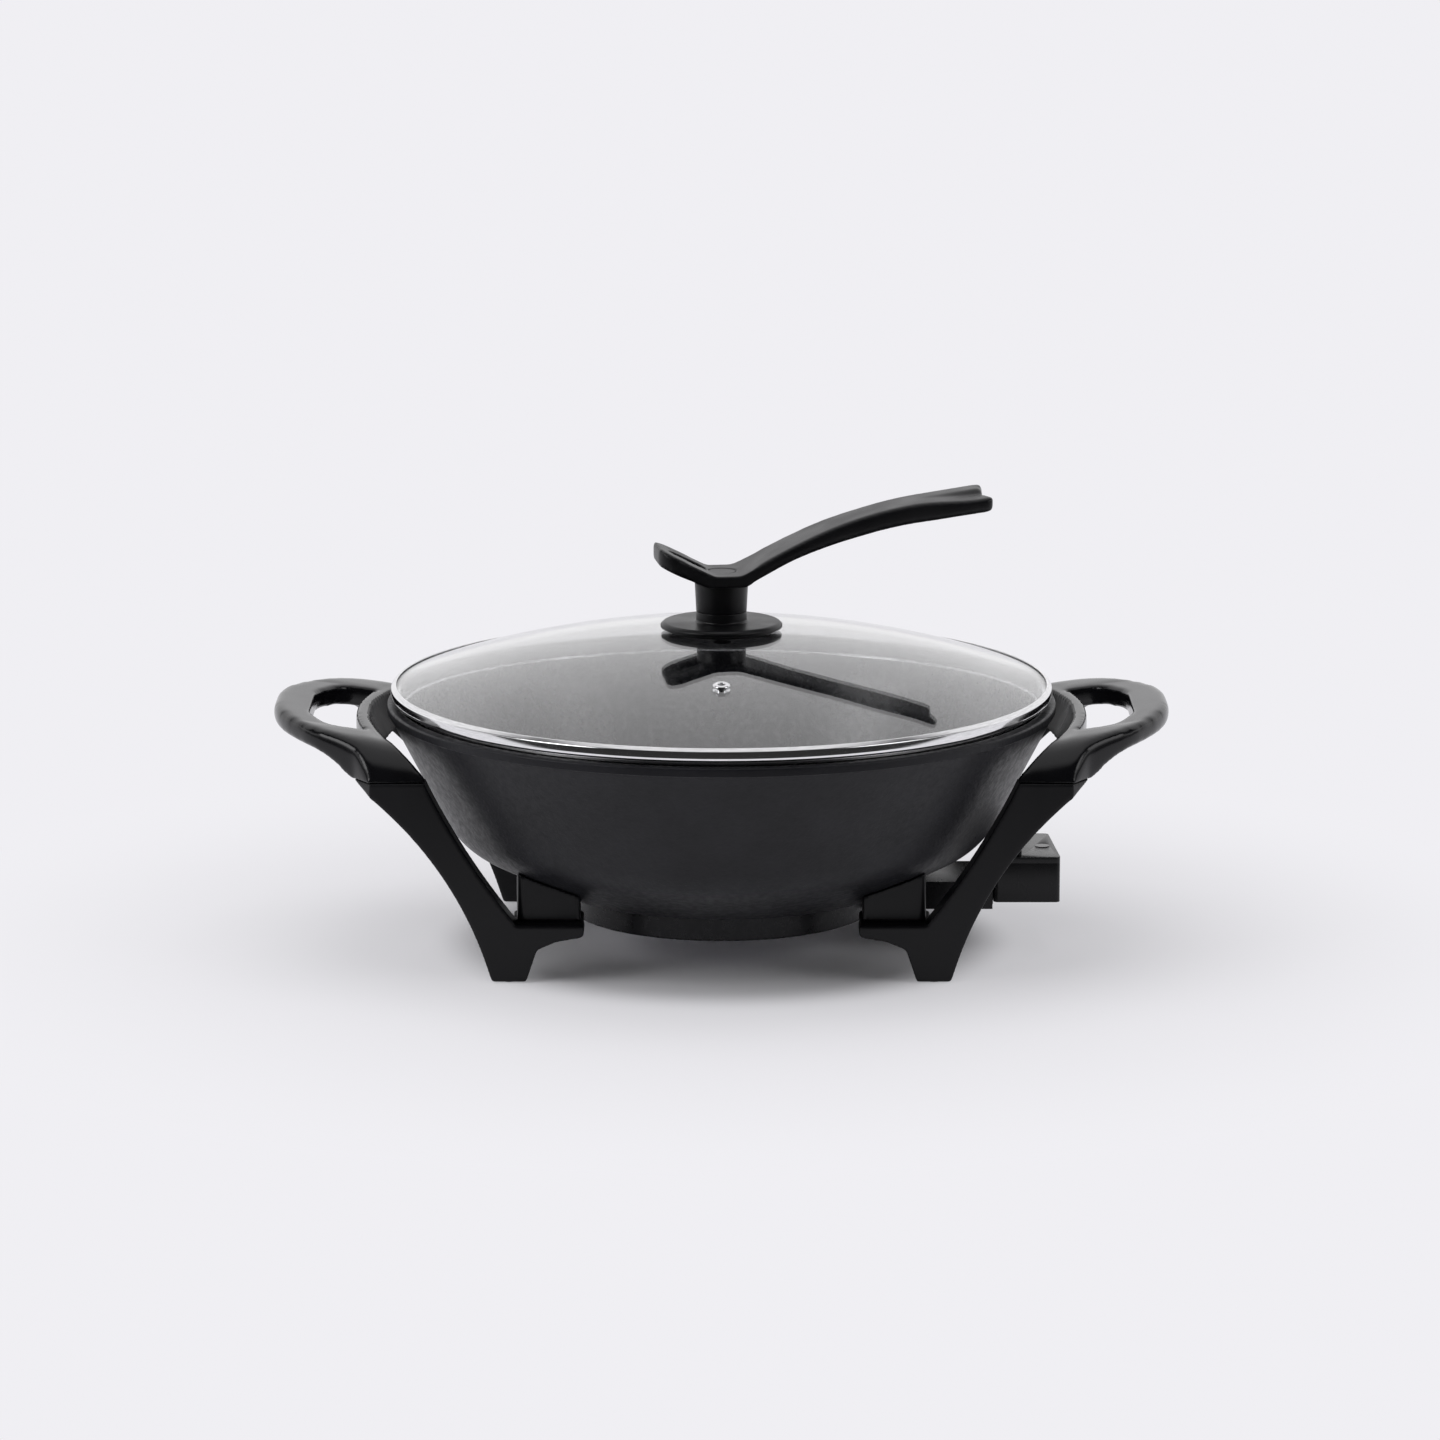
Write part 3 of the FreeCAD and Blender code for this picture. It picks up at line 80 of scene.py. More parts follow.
class Slot(Enum):
    """The record's material slots."""

    CAST_COAT = "cast_coat"
    RING_COAT = "ring_coat"
    PLATED_SHEET = "plated_sheet"
    SCREW_STEEL = "screw_steel"
    HEATER_SHEATH = "heater_sheath"
    POLISHED_RIM = "polished_rim"
    LID_GLASS = "lid_glass"
    SATIN_BLACK = "satin_black"
    GLOSS_BLACK = "gloss_black"
    CASE_BLACK = "case_black"
    SOFT_SEAL = "soft_seal"
    PAD_RUBBER = "pad_rubber"
    LENS_AMBER = "lens_amber"
    LAMP_CLEAR = "lamp_clear"
    INSULATOR = "insulator"
    CONTACT_BRASS = "contact_brass"


def rounded(corners: Outline, steps: int = BEND_STEPS) -> list[Pair]:
    """Turn an outline with bends into plain points.

    Args:
        corners: Points (x, y) or (x, y, bend) in millimetres, in order, of a closed outline.
        steps: Number of stretches in each rounded corner.

    Returns:
        The outline's points in metres.
    """
    points: list[Pair] = []
    count = len(corners)
    for index, corner in enumerate(corners):
        here = Vector(corner[:2])
        if len(corner) < 3 or corner[2] <= 0:
            points.append((here.x * MM, here.y * MM))
            continue
        before = (Vector(corners[index - 1][:2]) - here).normalized()
        after = (Vector(corners[(index + 1) % count][:2]) - here).normalized()
        half = before.angle(after) / 2
        reach = corner[2] / math.tan(half)
        centre = here + (before + after).normalized() * (corner[2] / math.sin(half))
        start = here + before * reach - centre
        turn = math.pi - 2 * half
        if before.x * after.y - before.y * after.x > 0:
            turn = -turn
        for step in range(steps + 1):
            spot = centre + Matrix.Rotation(turn * step / steps, 2) @ start
            points.append((spot.x * MM, spot.y * MM))
    return points


def new_object(name: str, data: bpy.types.ID) -> Piece:
    """Link a mesh, lamp or camera into the scene as an object of its own name."""
    thing = bpy.data.objects.new(name, data)
    bpy.context.scene.collection.objects.link(thing)
    return thing


def finish_mesh(name: str, shape: bmesh.types.BMesh) -> Piece:
    """Close a bmesh into a smooth-shaded object.

    Args:
        name: The object's name.
        shape: The mesh under construction, freed here.

    Returns:
        The new object.
    """
    bmesh.ops.recalc_face_normals(shape, faces=shape.faces)
    mesh = bpy.data.meshes.new(name)
    shape.to_mesh(mesh)
    shape.free()
    smooth(mesh, SMOOTH_ANGLE)
    return new_object(name, mesh)


def smooth(mesh: bpy.types.Mesh, sharp: float) -> None:
    """Shade a mesh smooth up to an angle in degrees."""
    mesh.shade_smooth()
    mesh.set_sharp_from_angle(angle=math.radians(sharp))


def lathe_into(shape: bmesh.types.BMesh, points: Sequence[Pair], steps: int) -> None:
    """Add a closed outline of (radius, height) points, turned about Z, to a mesh."""
    rings = []
    for radius, height in points:
        if radius < TINY:
            rings.append([shape.verts.new((0, 0, height))])
            continue
        angles = [2 * math.pi * index / steps for index in range(steps)]
        spots = [(radius * math.cos(angle), radius * math.sin(angle), height) for angle in angles]
        rings.append([shape.verts.new(spot) for spot in spots])
    for index, ring in enumerate(rings):
        other = rings[(index + 1) % len(rings)]
        if len(ring) == 1 and len(other) == 1:
            continue
        for step in range(steps):
            after = (step + 1) % steps
            corners = [ring[step % len(ring)], ring[after % len(ring)],
                       other[after % len(other)], other[step % len(other)]]
            shape.faces.new(list(dict.fromkeys(corners)))


def lathe(name: str, corners: Outline, steps: int, bends: int = BEND_STEPS) -> Piece:
    """Make a turned piece from an outline in millimetres.

    Args:
        name: The object's name.
        corners: Closed outline (radius, height[, bend]) in millimetres.
        steps: Number of facets round the axis.
        bends: Stretches in each rounded corner.

    Returns:
        The new object.
    """
    shape = bmesh.new()
    lathe_into(shape, rounded(corners, bends), steps)
    return finish_mesh(name, shape)


def prism(name: str, corners: Outline, low: float, high: float) -> Piece:
    """Make an upright block of a plan outline between two heights, all in millimetres."""
    shape = bmesh.new()
    points = rounded(corners)
    bottom = [shape.verts.new((x, y, low * MM)) for x, y in points]
    top = [shape.verts.new((x, y, high * MM)) for x, y in points]
    shape.faces.new(bottom)
    shape.faces.new(top)
    for index in range(len(points)):
        after = (index + 1) % len(points)
        shape.faces.new((bottom[index], bottom[after], top[after], top[index]))
    return finish_mesh(name, shape)


def rod(name: str, radius: float, start: Vector, end: Vector) -> Piece:
    """Make a round bar with softened ends between two points, in millimetres."""
    length = (end - start).length
    outline = [(0, 0), (radius, 0, ROD_BEND), (radius, length, ROD_BEND), (0, length)]
    piece = lathe(name, outline, ROD_STEPS)
    piece.data.transform((end - start).to_track_quat("Z", "Y").to_matrix().to_4x4())
    piece.data.transform(Matrix.Translation(start * MM))
    return piece


def applied(piece: Piece) -> Piece:
    """Bake an object's modifiers into its mesh."""
    graph = bpy.context.evaluated_depsgraph_get()
    mesh = bpy.data.meshes.new_from_object(piece.evaluated_get(graph), depsgraph=graph)
    piece.modifiers.clear()
    old, piece.data = piece.data, mesh
    name = old.name
    bpy.data.meshes.remove(old)
    mesh.name = name
    return piece


def step_up(value: float, start: float, end: float) -> float:
    """Return 0 up to start, 1 from end on, and a smooth rise between them."""
    share = min(max((value - start) / (end - start), 0.0), 1.0)
    return share * share * (3 - 2 * share)


def remeshed(piece: Piece, voxel: float) -> Piece:
    """Give a piece an even mesh with cells of a size in millimetres."""
    remesh = piece.modifiers.new("remesh", "REMESH")
    remesh.mode = "VOXEL"
    remesh.voxel_size = voxel * MM
    return applied(piece)


def moulded(piece: Piece, passes: int, softness: Callable[[Vector], float] | None = None,
            swell: float = 0.0) -> Piece:
    """Give an evenly meshed piece the soft edges of a moulding.

    Args:
        piece: A closed object with an even mesh.
        passes: Rounds of smoothing; more make rounder edges.
        softness: Share of the smoothing, from 0 to 1, at a point in millimetres.
        swell: Millimetres that the surface grows first, to make up for what smoothing takes.

    Returns:
        The same object with its new mesh.
    """
    group = piece.vertex_groups.new(name="soft")
    for vertex in piece.data.vertices:
        share = softness(vertex.co / MM) if softness else 1.0
        group.add([vertex.index], share, "REPLACE")
    if swell:
        grow = piece.modifiers.new("grow", "DISPLACE")
        grow.strength = swell * MM
        grow.mid_level = 0.0
        grow.vertex_group = group.name
    relax = piece.modifiers.new("relax", "SMOOTH")
    relax.factor = 0.5
    relax.iterations = passes
    relax.vertex_group = group.name
    applied(piece)
    piece.vertex_groups.clear()
    piece.data.shade_smooth()
    return piece


def extent(places: Sequence[Vector], axis: int) -> Pair:
    """Return the lowest and highest value of some places along an axis."""
    values = [place[axis] for place in places]
    return min(values), max(values)


def fitted(piece: Piece, node: str) -> Piece:
    """Scale a moulding by the hair that it needs to stay within the box of its solid."""
    places = [vertex.co for vertex in piece.data.vertices]
    solid = [vertex.co for vertex in frame["nodes"][node].data.vertices]
    for axis in range(3):
        low, high = extent(places, axis)
        solid_low, solid_high = extent(solid, axis)
        new_low, new_high = max(low, solid_low), min(high, solid_high)
        for place in places:
            place[axis] = new_low + (place[axis] - low) * (new_high - new_low) / (high - low)
    return piece


def copy_of(node: str, name: str) -> Piece:
    """Start a new piece from the shape of a node of the frame."""
    mesh = frame["nodes"][node].data.copy()
    mesh.name = name
    mesh.materials.clear()
    shape = bmesh.new()
    shape.from_mesh(mesh)
    bmesh.ops.remove_doubles(shape, verts=shape.verts, dist=TINY)
    shape.to_mesh(mesh)
    shape.free()
    return new_object(name, mesh)


def eased(piece: Piece, width: float) -> Piece:
    """Break the edges of a flat-sided piece with a small round, width in millimetres."""
    shape = bmesh.new()
    shape.from_mesh(piece.data)
    bmesh.ops.dissolve_limit(shape, angle_limit=math.radians(FLAT_ANGLE), verts=shape.verts,
                             edges=shape.edges)
    edges = [edge for edge in shape.edges
             if len(edge.link_faces) == 2 and edge.calc_face_angle(0) > math.radians(EDGE_ANGLE)]
    bmesh.ops.bevel(shape, geom=edges, offset=width * MM, segments=EASED_STEPS, profile=0.5, affect="EDGES",
                    clamp_overlap=True)
    shape.to_mesh(piece.data)
    shape.free()
    smooth(piece.data, EASED_ANGLE)
    return piece


def join(pieces: Sequence[Piece]) -> None:
    """Put several objects' meshes into the first one."""
    shape = bmesh.new()
    for piece in pieces:
        shape.from_mesh(piece.data)
    shape.to_mesh(pieces[0].data)
    shape.free()
    for piece in pieces[1:]:
        bpy.data.objects.remove(piece)


# ---------------- finishes
class Nodes:
    """A node tree, with short calls for the nodes that materials and world use."""

    def __init__(self, tree: bpy.types.NodeTree) -> None:
        """Work on a node tree."""
        self.tree = tree

    def add(self, kind: str, **values: object) -> bpy.types.Node:
        """Add a node and set its properties."""
        node = self.tree.nodes.new(kind)
        for key, value in values.items():
            setattr(node, key, value)
        return node

    def link(self, source: Socket, target: Socket) -> None:
        """Join an output to an input."""
        self.tree.links.new(source, target)

    def feed(self, value: Socket | float, target: Socket) -> None:
        """Join an output to an input, or set the input to a number."""
        if isinstance(value, Socket):
            self.link(value, target)
        else:
            target.default_value = value

    def spread(self, source: Socket, low: float, high: float, start: float = 0.3,
               end: float = 0.7) -> Socket:
        """Return a socket's values between start and end moved to between low and high."""
        node = self.add("ShaderNodeMapRange", interpolation_type="SMOOTHSTEP")
        for key, value in (("From Min", start), ("From Max", end), ("To Min", low), ("To Max", high)):
            node.inputs[key].default_value = value
        self.link(source, node.inputs["Value"])
        return node.outputs["Result"]

    def math(self, operation: str, first: Socket, second: Socket | float = 0.0) -> Socket:
        """Return what a math operation makes of one or two values."""
        node = self.add("ShaderNodeMath", operation=operation)
        self.link(first, node.inputs[0])
        self.feed(second, node.inputs[1])
        return node.outputs["Value"]

    def blend(self, share: Socket, first: Socket, second: Socket) -> Socket:
        """Return a mix of two shaders, with as much of the second one as the share says."""
        mix = self.add("ShaderNodeMixShader")
        for source, target in zip((share, first, second), mix.inputs):
            self.link(source, target)
        return mix.outputs["Shader"]

    def glow(self, kind: str, color: Color, strength: Socket | float = 1.0) -> Socket:
        """Return a shining shader: an emission for a surface or a background for a world."""
        node = self.add(kind)
        node.inputs["Color"].default_value = (*color, 1)
        self.feed(strength, node.inputs["Strength"])
        return node.outputs[0]


class Recipe(Nodes):
    """A material's node tree."""

    def __init__(self, name: str) -> None:
        """Start an empty material with its main shader and object coordinates."""
        self.material = bpy.data.materials.new(name)
        self.material.use_nodes = True
        super().__init__(self.material.node_tree)
        self.shader = self.tree.nodes["Principled BSDF"]
        self.output = self.tree.nodes["Material Output"]
        self.place = self.add("ShaderNodeTexCoord").outputs["Object"]

    def base(self, color: Color, roughness: float, gloss: float = 0.5, metallic: float = 0.0) -> None:
        """Set the main shader's plain values."""
        self.shader.inputs["Base Color"].default_value = (*color, 1)
        self.shader.inputs["Roughness"].default_value = roughness
        self.shader.inputs["Specular IOR Level"].default_value = gloss
        self.shader.inputs["Metallic"].default_value = metallic

    def noise(self, scale: float, detail: float, stretch: Triple = (1, 1, 1)) -> Socket:
        """Return a noise of a scale per metre, stretched along the axes."""
        mapping = self.add("ShaderNodeMapping")
        mapping.inputs["Scale"].default_value = stretch
        self.link(self.place, mapping.inputs["Vector"])
        cloud = self.add("ShaderNodeTexNoise")
        cloud.inputs["Scale"].default_value = scale
        cloud.inputs["Detail"].default_value = detail
        self.link(mapping.outputs["Vector"], cloud.inputs["Vector"])
        return cloud.outputs["Fac"]

    def tint(self, source: Socket, first: Color, second: Color) -> None:
        """Colour the shader between two colours by a socket."""
        mix = self.add("ShaderNodeMix", data_type="RGBA")
        mix.inputs["A"].default_value = (*first, 1)
        mix.inputs["B"].default_value = (*second, 1)
        self.link(self.spread(source, 0, 1), mix.inputs["Factor"])
        self.link(mix.outputs["Result"], self.shader.inputs["Base Color"])

    def roughen(self, source: Socket, smoothest: float, roughest: float) -> None:
        """Vary the shader's roughness between two values by a socket."""
        self.link(self.spread(source, smoothest, roughest), self.shader.inputs["Roughness"])

    def bump(self, heights: Sequence[tuple[Socket, float]]) -> None:
        """Stack bumps of sockets, each with its depth in millimetres."""
        normal = None
        for source, depth in heights:
            node = self.add("ShaderNodeBump")
            node.inputs["Strength"].default_value = 1.0
            node.inputs["Distance"].default_value = depth * MM
            self.link(source, node.inputs["Height"])
            if normal:
                self.link(normal, node.inputs["Normal"])
            normal = node.outputs["Normal"]
        self.link(normal, self.shader.inputs["Normal"])


def scaled(color: Color, factor: float, added: float = 0.0) -> Color:
    """Return a colour with its channels multiplied and something added to each."""
    red, green, blue = (channel * factor + added for channel in color)
    return red, green, blue


@dataclass(frozen=True)
class Moulding:
    """Moulded plastic: colour, gloss and the fine grain of its tool.

    Noises have their scale per metre and bumps their depth in millimetres, here and in the other finishes.
    """

    name: str
    color: Color
    roughness: float
    gloss: float
    grain: float
    depth: float
    streak: float = 0.05
    wave: float = 0.0
    wave_scale: float = 70.0
    cloud_scale: float = 45.0
    cloud_stretch: Triple = (1, 1, 0.4)
    lighten: Pair = (1.5, 0.0006)

    def material(self) -> bpy.types.Material:
        """Return the material of this finish."""
        recipe = Recipe(self.name)
        recipe.base(self.color, self.roughness, self.gloss)
        cloud = recipe.noise(self.cloud_scale, 4, self.cloud_stretch)
        recipe.tint(cloud, self.color, scaled(self.color, *self.lighten))
        recipe.roughen(cloud, self.roughness - self.streak, self.roughness + self.streak)
        bumps = [(recipe.noise(self.grain, 2), self.depth)]
        if self.wave:
            bumps.append((recipe.noise(self.wave_scale, 1), self.wave))
        recipe.bump(bumps)
        return recipe.material


@dataclass(frozen=True)
class CastCoating:
    """Non-stick coating over a casting, with its orange-peel grain and small pits."""

    name: str
    color: Color
    roughness: float
    gloss: float
    peel: float
    peel_depth: float
    fine: float = 1500.0
    fine_depth: float = 0.03
    wear: float = 0.06
    wear_scale: float = 300.0
    cloud_scale: float = 38.0
    lighten: Pair = (1.35, 0.001)

    def material(self) -> bpy.types.Material:
        """Return the material of this finish."""
        recipe = Recipe(self.name)
        recipe.base(self.color, self.roughness, self.gloss)
        recipe.tint(recipe.noise(self.cloud_scale, 5), self.color, scaled(self.color, *self.lighten))
        worn = recipe.noise(self.wear_scale, 4)
        recipe.roughen(worn, self.roughness - self.wear, self.roughness + self.wear)
        recipe.bump([(recipe.noise(self.peel, 2), self.peel_depth),
                     (recipe.noise(self.fine, 3), self.fine_depth)])
        return recipe.material


@dataclass(frozen=True)
class Metal:
    """Bare or plated metal with brushing along or across an axis."""

    name: str
    color: Color
    roughness: float
    stretch: Triple
    depth: float = 0.006
    brush_scale: float = 160.0
    darken: float = 0.82
    polish: Pair = (0.75, 1.3)

    def material(self) -> bpy.types.Material:
        """Return the material of this finish."""
        recipe = Recipe(self.name)
        recipe.base(self.color, self.roughness, metallic=1.0)
        brush = recipe.noise(self.brush_scale, 4, self.stretch)
        recipe.tint(brush, scaled(self.color, self.darken), self.color)
        recipe.roughen(brush, *(self.roughness * share for share in self.polish))
        recipe.bump([(brush, self.depth)])
        return recipe.material


@dataclass(frozen=True)
class ClearGlass:
    """Clear glass that lets lamps' light through to what lies behind it."""

    name: str
    color: Color
    roughness: float = 0.0
    ior: float = 1.6
    lamplight: Color = (0.93, 0.94, 0.95)
    ripple_scale: float = 14.0
    ripple: float = 0.02

    def material(self) -> bpy.types.Material:
        """Return the material of this finish."""
        recipe = Recipe(self.name)
        recipe.base(self.color, self.roughness)
        recipe.shader.inputs["Transmission Weight"].default_value = 1.0
        recipe.shader.inputs["IOR"].default_value = self.ior
        recipe.bump([(recipe.noise(self.ripple_scale, 2), self.ripple)])
        clear = recipe.add("ShaderNodeBsdfTransparent")
        clear.inputs["Color"].default_value = (*self.lamplight, 1)
        shadow = recipe.add("ShaderNodeLightPath").outputs["Is Shadow Ray"]
        recipe.link(recipe.blend(shadow, recipe.shader.outputs["BSDF"], clear.outputs["BSDF"]),
                    recipe.output.inputs["Surface"])
        return recipe.material


Finish = Moulding | CastCoating | Metal | ClearGlass

FINISHES: dict[Slot, Finish] = {
    Slot.CAST_COAT: CastCoating("cast_coating", (0.0062, 0.0063, 0.0081), 0.42, gloss=0.235, peel=520,
                                peel_depth=0.11, fine=1900, fine_depth=0.06),
    Slot.RING_COAT: CastCoating("ring_enamel", (0.004, 0.004, 0.0052), 0.3, gloss=0.22, peel=700,
                                peel_depth=0.02),
    Slot.PLATED_SHEET: Metal("plated_sheet", (0.56, 0.56, 0.57), 0.38, stretch=(60, 1, 1)),
    Slot.SCREW_STEEL: Metal("screw_steel", (0.6, 0.6, 0.62), 0.32, stretch=(1, 1, 30)),
    Slot.HEATER_SHEATH: Metal("heater_sheath", (0.2, 0.175, 0.16), 0.5, stretch=(1, 1, 1)),
    Slot.POLISHED_RIM: Metal("polished_rim", (0.86, 0.86, 0.87), 0.09, stretch=(1, 1, 40), depth=0.001),
    Slot.LID_GLASS: ClearGlass("lid_glass", (0.985, 0.99, 0.99)),
    Slot.SATIN_BLACK: Moulding("satin_phenolic", (0.0036, 0.0036, 0.0043), 0.34, gloss=0.21, grain=2200,
                               depth=0.015),
    Slot.GLOSS_BLACK: Moulding("gloss_phenolic", (0.0026, 0.0026, 0.0033), 0.17, gloss=0.34, grain=3000,
                               depth=0.002, streak=0.03, wave=0.006),
    Slot.CASE_BLACK: Moulding("case_plastic", (0.0034, 0.0034, 0.004), 0.26, gloss=0.24, grain=2600,
                              depth=0.006, streak=0.03),
    Slot.SOFT_SEAL: Moulding("silicone_seal", (0.01, 0.01, 0.011), 0.55, gloss=0.3, grain=1800, depth=0.02),
    Slot.PAD_RUBBER: Moulding("pad_rubber", (0.012, 0.012, 0.012), 0.7, gloss=0.3, grain=1500, depth=0.04),
    Slot.LENS_AMBER: Moulding("pilot_lens", (0.016, 0.006, 0.005), 0.16, gloss=0.45, grain=900,
                              depth=0.004),
    Slot.LAMP_CLEAR: ClearGlass("lamp_clear", (0.95, 0.85, 0.78), 0.02),
    Slot.INSULATOR: Moulding("insulator", (0.58, 0.54, 0.46), 0.6, gloss=0.4, grain=1200, depth=0.03),
    Slot.CONTACT_BRASS: Metal("contact_brass", (0.72, 0.55, 0.28), 0.3, stretch=(30, 1, 1)),
}
PAN_COATING = CastCoating("pan_coating", (0.008, 0.0082, 0.0098), 0.27, gloss=0.34, peel=300,
                          peel_depth=0.005, fine=1900, fine_depth=0.003, wear=0.01)
BARE_EDGE = Metal("bare_edge", (0.55, 0.55, 0.57), 0.24, stretch=(1, 1, 20), depth=0.002)
DARK_STEEL = Metal("dark_steel", (0.1, 0.1, 0.105), 0.4, stretch=(1, 1, 30))
# Painted shade: a darker, duller copy of the gloss moulding for the handles' walls that face the bowl.
INNER_PAINTED_SHADE = Moulding("inner_painted_shade", (0.0016, 0.0016, 0.002), 0.3, gloss=0.05, grain=2200, depth=0.01)
GRIP_GRAIN = Moulding("grip_phenolic", (0.003, 0.003, 0.0036), 0.36, gloss=0.3, grain=1500, depth=0.045)


class Wardrobe:
    """The materials of all finishes, made once each."""

    def __init__(self) -> None:
        """Start with no material made."""
        self.made: dict[str, bpy.types.Material] = {}

    def material(self, finish: Finish) -> bpy.types.Material:
        """Return the material of a finish, making it the first time."""
        if finish.name not in self.made:
            self.made[finish.name] = finish.material()
        return self.made[finish.name]

    def dress(self, piece: Piece, finish: Finish) -> None:
        """Put one finish on the whole of a piece."""
        piece.data.materials.clear()
        piece.data.materials.append(self.material(finish))

    def line(self, piece: Piece, finish: Finish, inside: Callable[[Vector, Vector], bool]) -> None:
        """Put a second finish on some faces of a dressed piece.

        Args:
            piece: The dressed object.
            finish: The second finish.
            inside: Says from a face's middle in millimetres and its normal whether it takes the finish.
        """
        piece.data.materials.append(self.material(finish))
        for face in piece.data.polygons:
            if inside(face.center / MM, face.normal):
                face.material_index = len(piece.data.materials) - 1

    def settle(self, piece: Piece, slot: Slot, body: Body, node: str, finish: Finish | None = None) -> None:
        """Dress a new piece, let it ride on its body and stand for its node.

        Args:
            piece: The new object.
            slot: The record's material slot.
            body: The body that the piece moves with.
            node: The frame's node that it replaces.
            finish: Its finish where it isn't the slot's own.
        """
        self.dress(piece, finish or FINISHES[slot])
        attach(piece, body.value)
        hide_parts(node)
        LOG.info("%s on %s in %s", piece.name, body.value, slot.value)


WARDROBE = Wardrobe()


# ---------------- bowl
@dataclass
class Bowl:
    """The cast bowl with its bosses; sizes in millimetres."""

    rim_radius: float = 161.45
    rim_height: float = 119.4
    rim_band: float = 4.4
    rim_lip: float = 0.7
    rim_step: float = 0.3
    rim_bend: float = 1.2
    bead_bend: float = 0.4
    waist_radius: float = 128.6
    waist_height: float = 53.0
    waist_bend: float = 35.0
    sole_radius: float = 83.5
    sole_height: float = 29.7
    sole_bend: float = 1.5
    wall: float = 3.6
    floor: float = 5.0
    hollow_bend: float = 60.0
    ledge_radius: float = 156.0
    ledge_depth: float = 3.7
    ledge_bend: float = 0.8
    ledge_root_bend: float = 0.3
    ledge_edge_bend: float = 1.0
    neck_radius: float = 152.0
    neck_depth: float = 14.5
    neck_bend: float = 20.0
    well_radius: float = 62.0
    well_depth: float = 0.8
    well_slope: float = 1.0
    corner_bend: float = 0.5
    boss_radius: float = 5.0
    leg_boss_place: Pair = (82.0, 68.0)
    leg_boss_heights: Pair = (35.9, 44.5)
    cover_bosses: int = 3
    cover_boss_turn: float = 60.0
    cover_boss_place: float = 28.0
    cover_boss_heights: Pair = (19.3, 31.0)
    probe_boss_reach: Pair = (58.0, 84.0)
    probe_boss_heights: Pair = (22.2, 30.2)
    # which faces take the pan coating, and which are the bare edge
    slack: float = 0.2
    inside_above: float = 0.6
    least_inward: float = 0.05
    least_upward: float = 0.6
    edge_width: float = 1.1
    edge_depth: float = 1.2
    edge_upward: float = 0.02

    def casting(self) -> Piece:
        """Return the bowl as a turned casting with its rim bead and lid ledge."""
        rim, top, sole = self.rim_radius, self.rim_height, self.sole_height
        band_low = top - self.rim_band
        ledge = top - self.ledge_depth
        inner_floor = sole + self.floor
        well_floor = inner_floor - self.well_depth
        slant = self.wall * 0.75
        return lathe("bowl_casting", [
            (0, sole), (self.sole_radius, sole, self.sole_bend),
            (self.waist_radius, self.waist_height, self.waist_bend),
            (rim - self.rim_lip, band_low, self.bead_bend),
            (rim, band_low + self.rim_step, self.corner_bend), (rim, top, self.rim_bend),
            (self.ledge_radius, top, self.ledge_bend), (self.ledge_radius, ledge, self.ledge_root_bend),
            (self.neck_radius, ledge, self.ledge_edge_bend),
            (self.neck_radius, top - self.neck_depth, self.neck_bend),
            (self.waist_radius - slant, self.waist_height + slant, self.hollow_bend),
            (self.sole_radius + self.wall * 0.5, inner_floor, self.hollow_bend),
            (self.well_radius, inner_floor, self.corner_bend),
            (self.well_radius - self.well_slope, well_floor, self.corner_bend), (0, well_floor),
        ], steps=256, bends=14)

    def is_inside(self, middle: Vector, normal: Vector) -> bool:
        """Tell whether a face of the casting belongs to its inner side."""
        radius = math.hypot(middle.x, middle.y)
        lowest = self.sole_height + self.floor * self.inside_above
        if radius > self.ledge_radius + self.slack or middle.z < lowest:
            return False
        outward = (middle.x * normal.x + middle.y * normal.y) / max(radius, TINY)
        return outward < -self.least_inward or normal.z > self.least_upward

    def is_ledge_edge(self, middle: Vector, normal: Vector) -> bool:
        """Tell whether a face belongs to the turned edge between the lid's ledge and the neck."""
        beyond = math.hypot(middle.x, middle.y) - self.neck_radius
        below = self.rim_height - self.ledge_depth - middle.z
        near = -self.slack < beyond < self.edge_width and -self.slack / 2 < below < self.edge_depth
        return near and normal.z > self.edge_upward

    def upright(self, name: str, x: float, y: float, heights: Pair) -> Piece:
        """Return a round boss at a place, between two heights."""
        low, high = heights
        return rod(name, self.boss_radius, Vector((x, y, low)), Vector((x, y, high)))

    def bosses(self) -> list[Piece]:
        """Return the bosses cast under the bowl, for legs, cover and probe."""
        pieces = []
        leg_x, leg_y = self.leg_boss_place
        for x in (leg_x, -leg_x):
            for y in (leg_y, -leg_y):
                pieces.append(self.upright("leg_boss", x, y, self.leg_boss_heights))
        for number in range(self.cover_bosses):
            angle = math.radians(self.cover_boss_turn + 360 / self.cover_bosses * number)
            x, y = self.cover_boss_place * math.cos(angle), self.cover_boss_place * math.sin(angle)
            pieces.append(self.upright("cover_boss", x, y, self.cover_boss_heights))
        near, far = self.probe_boss_reach
        half = self.boss_radius
        plan = [(near, -half), (far, -half), (far, half), (near, half)]
        pieces.append(prism("probe_boss", plan, *self.probe_boss_heights))
        return pieces

    def build(self) -> None:
        """Make and place the bowl's piece."""
        casting = self.casting()
        join([casting, *self.bosses()])
        WARDROBE.settle(casting, Slot.CAST_COAT, Body.STAND, "wok_bowl")
        WARDROBE.line(casting, PAN_COATING, self.is_inside)
        WARDROBE.line(casting, BARE_EDGE, self.is_ledge_edge)


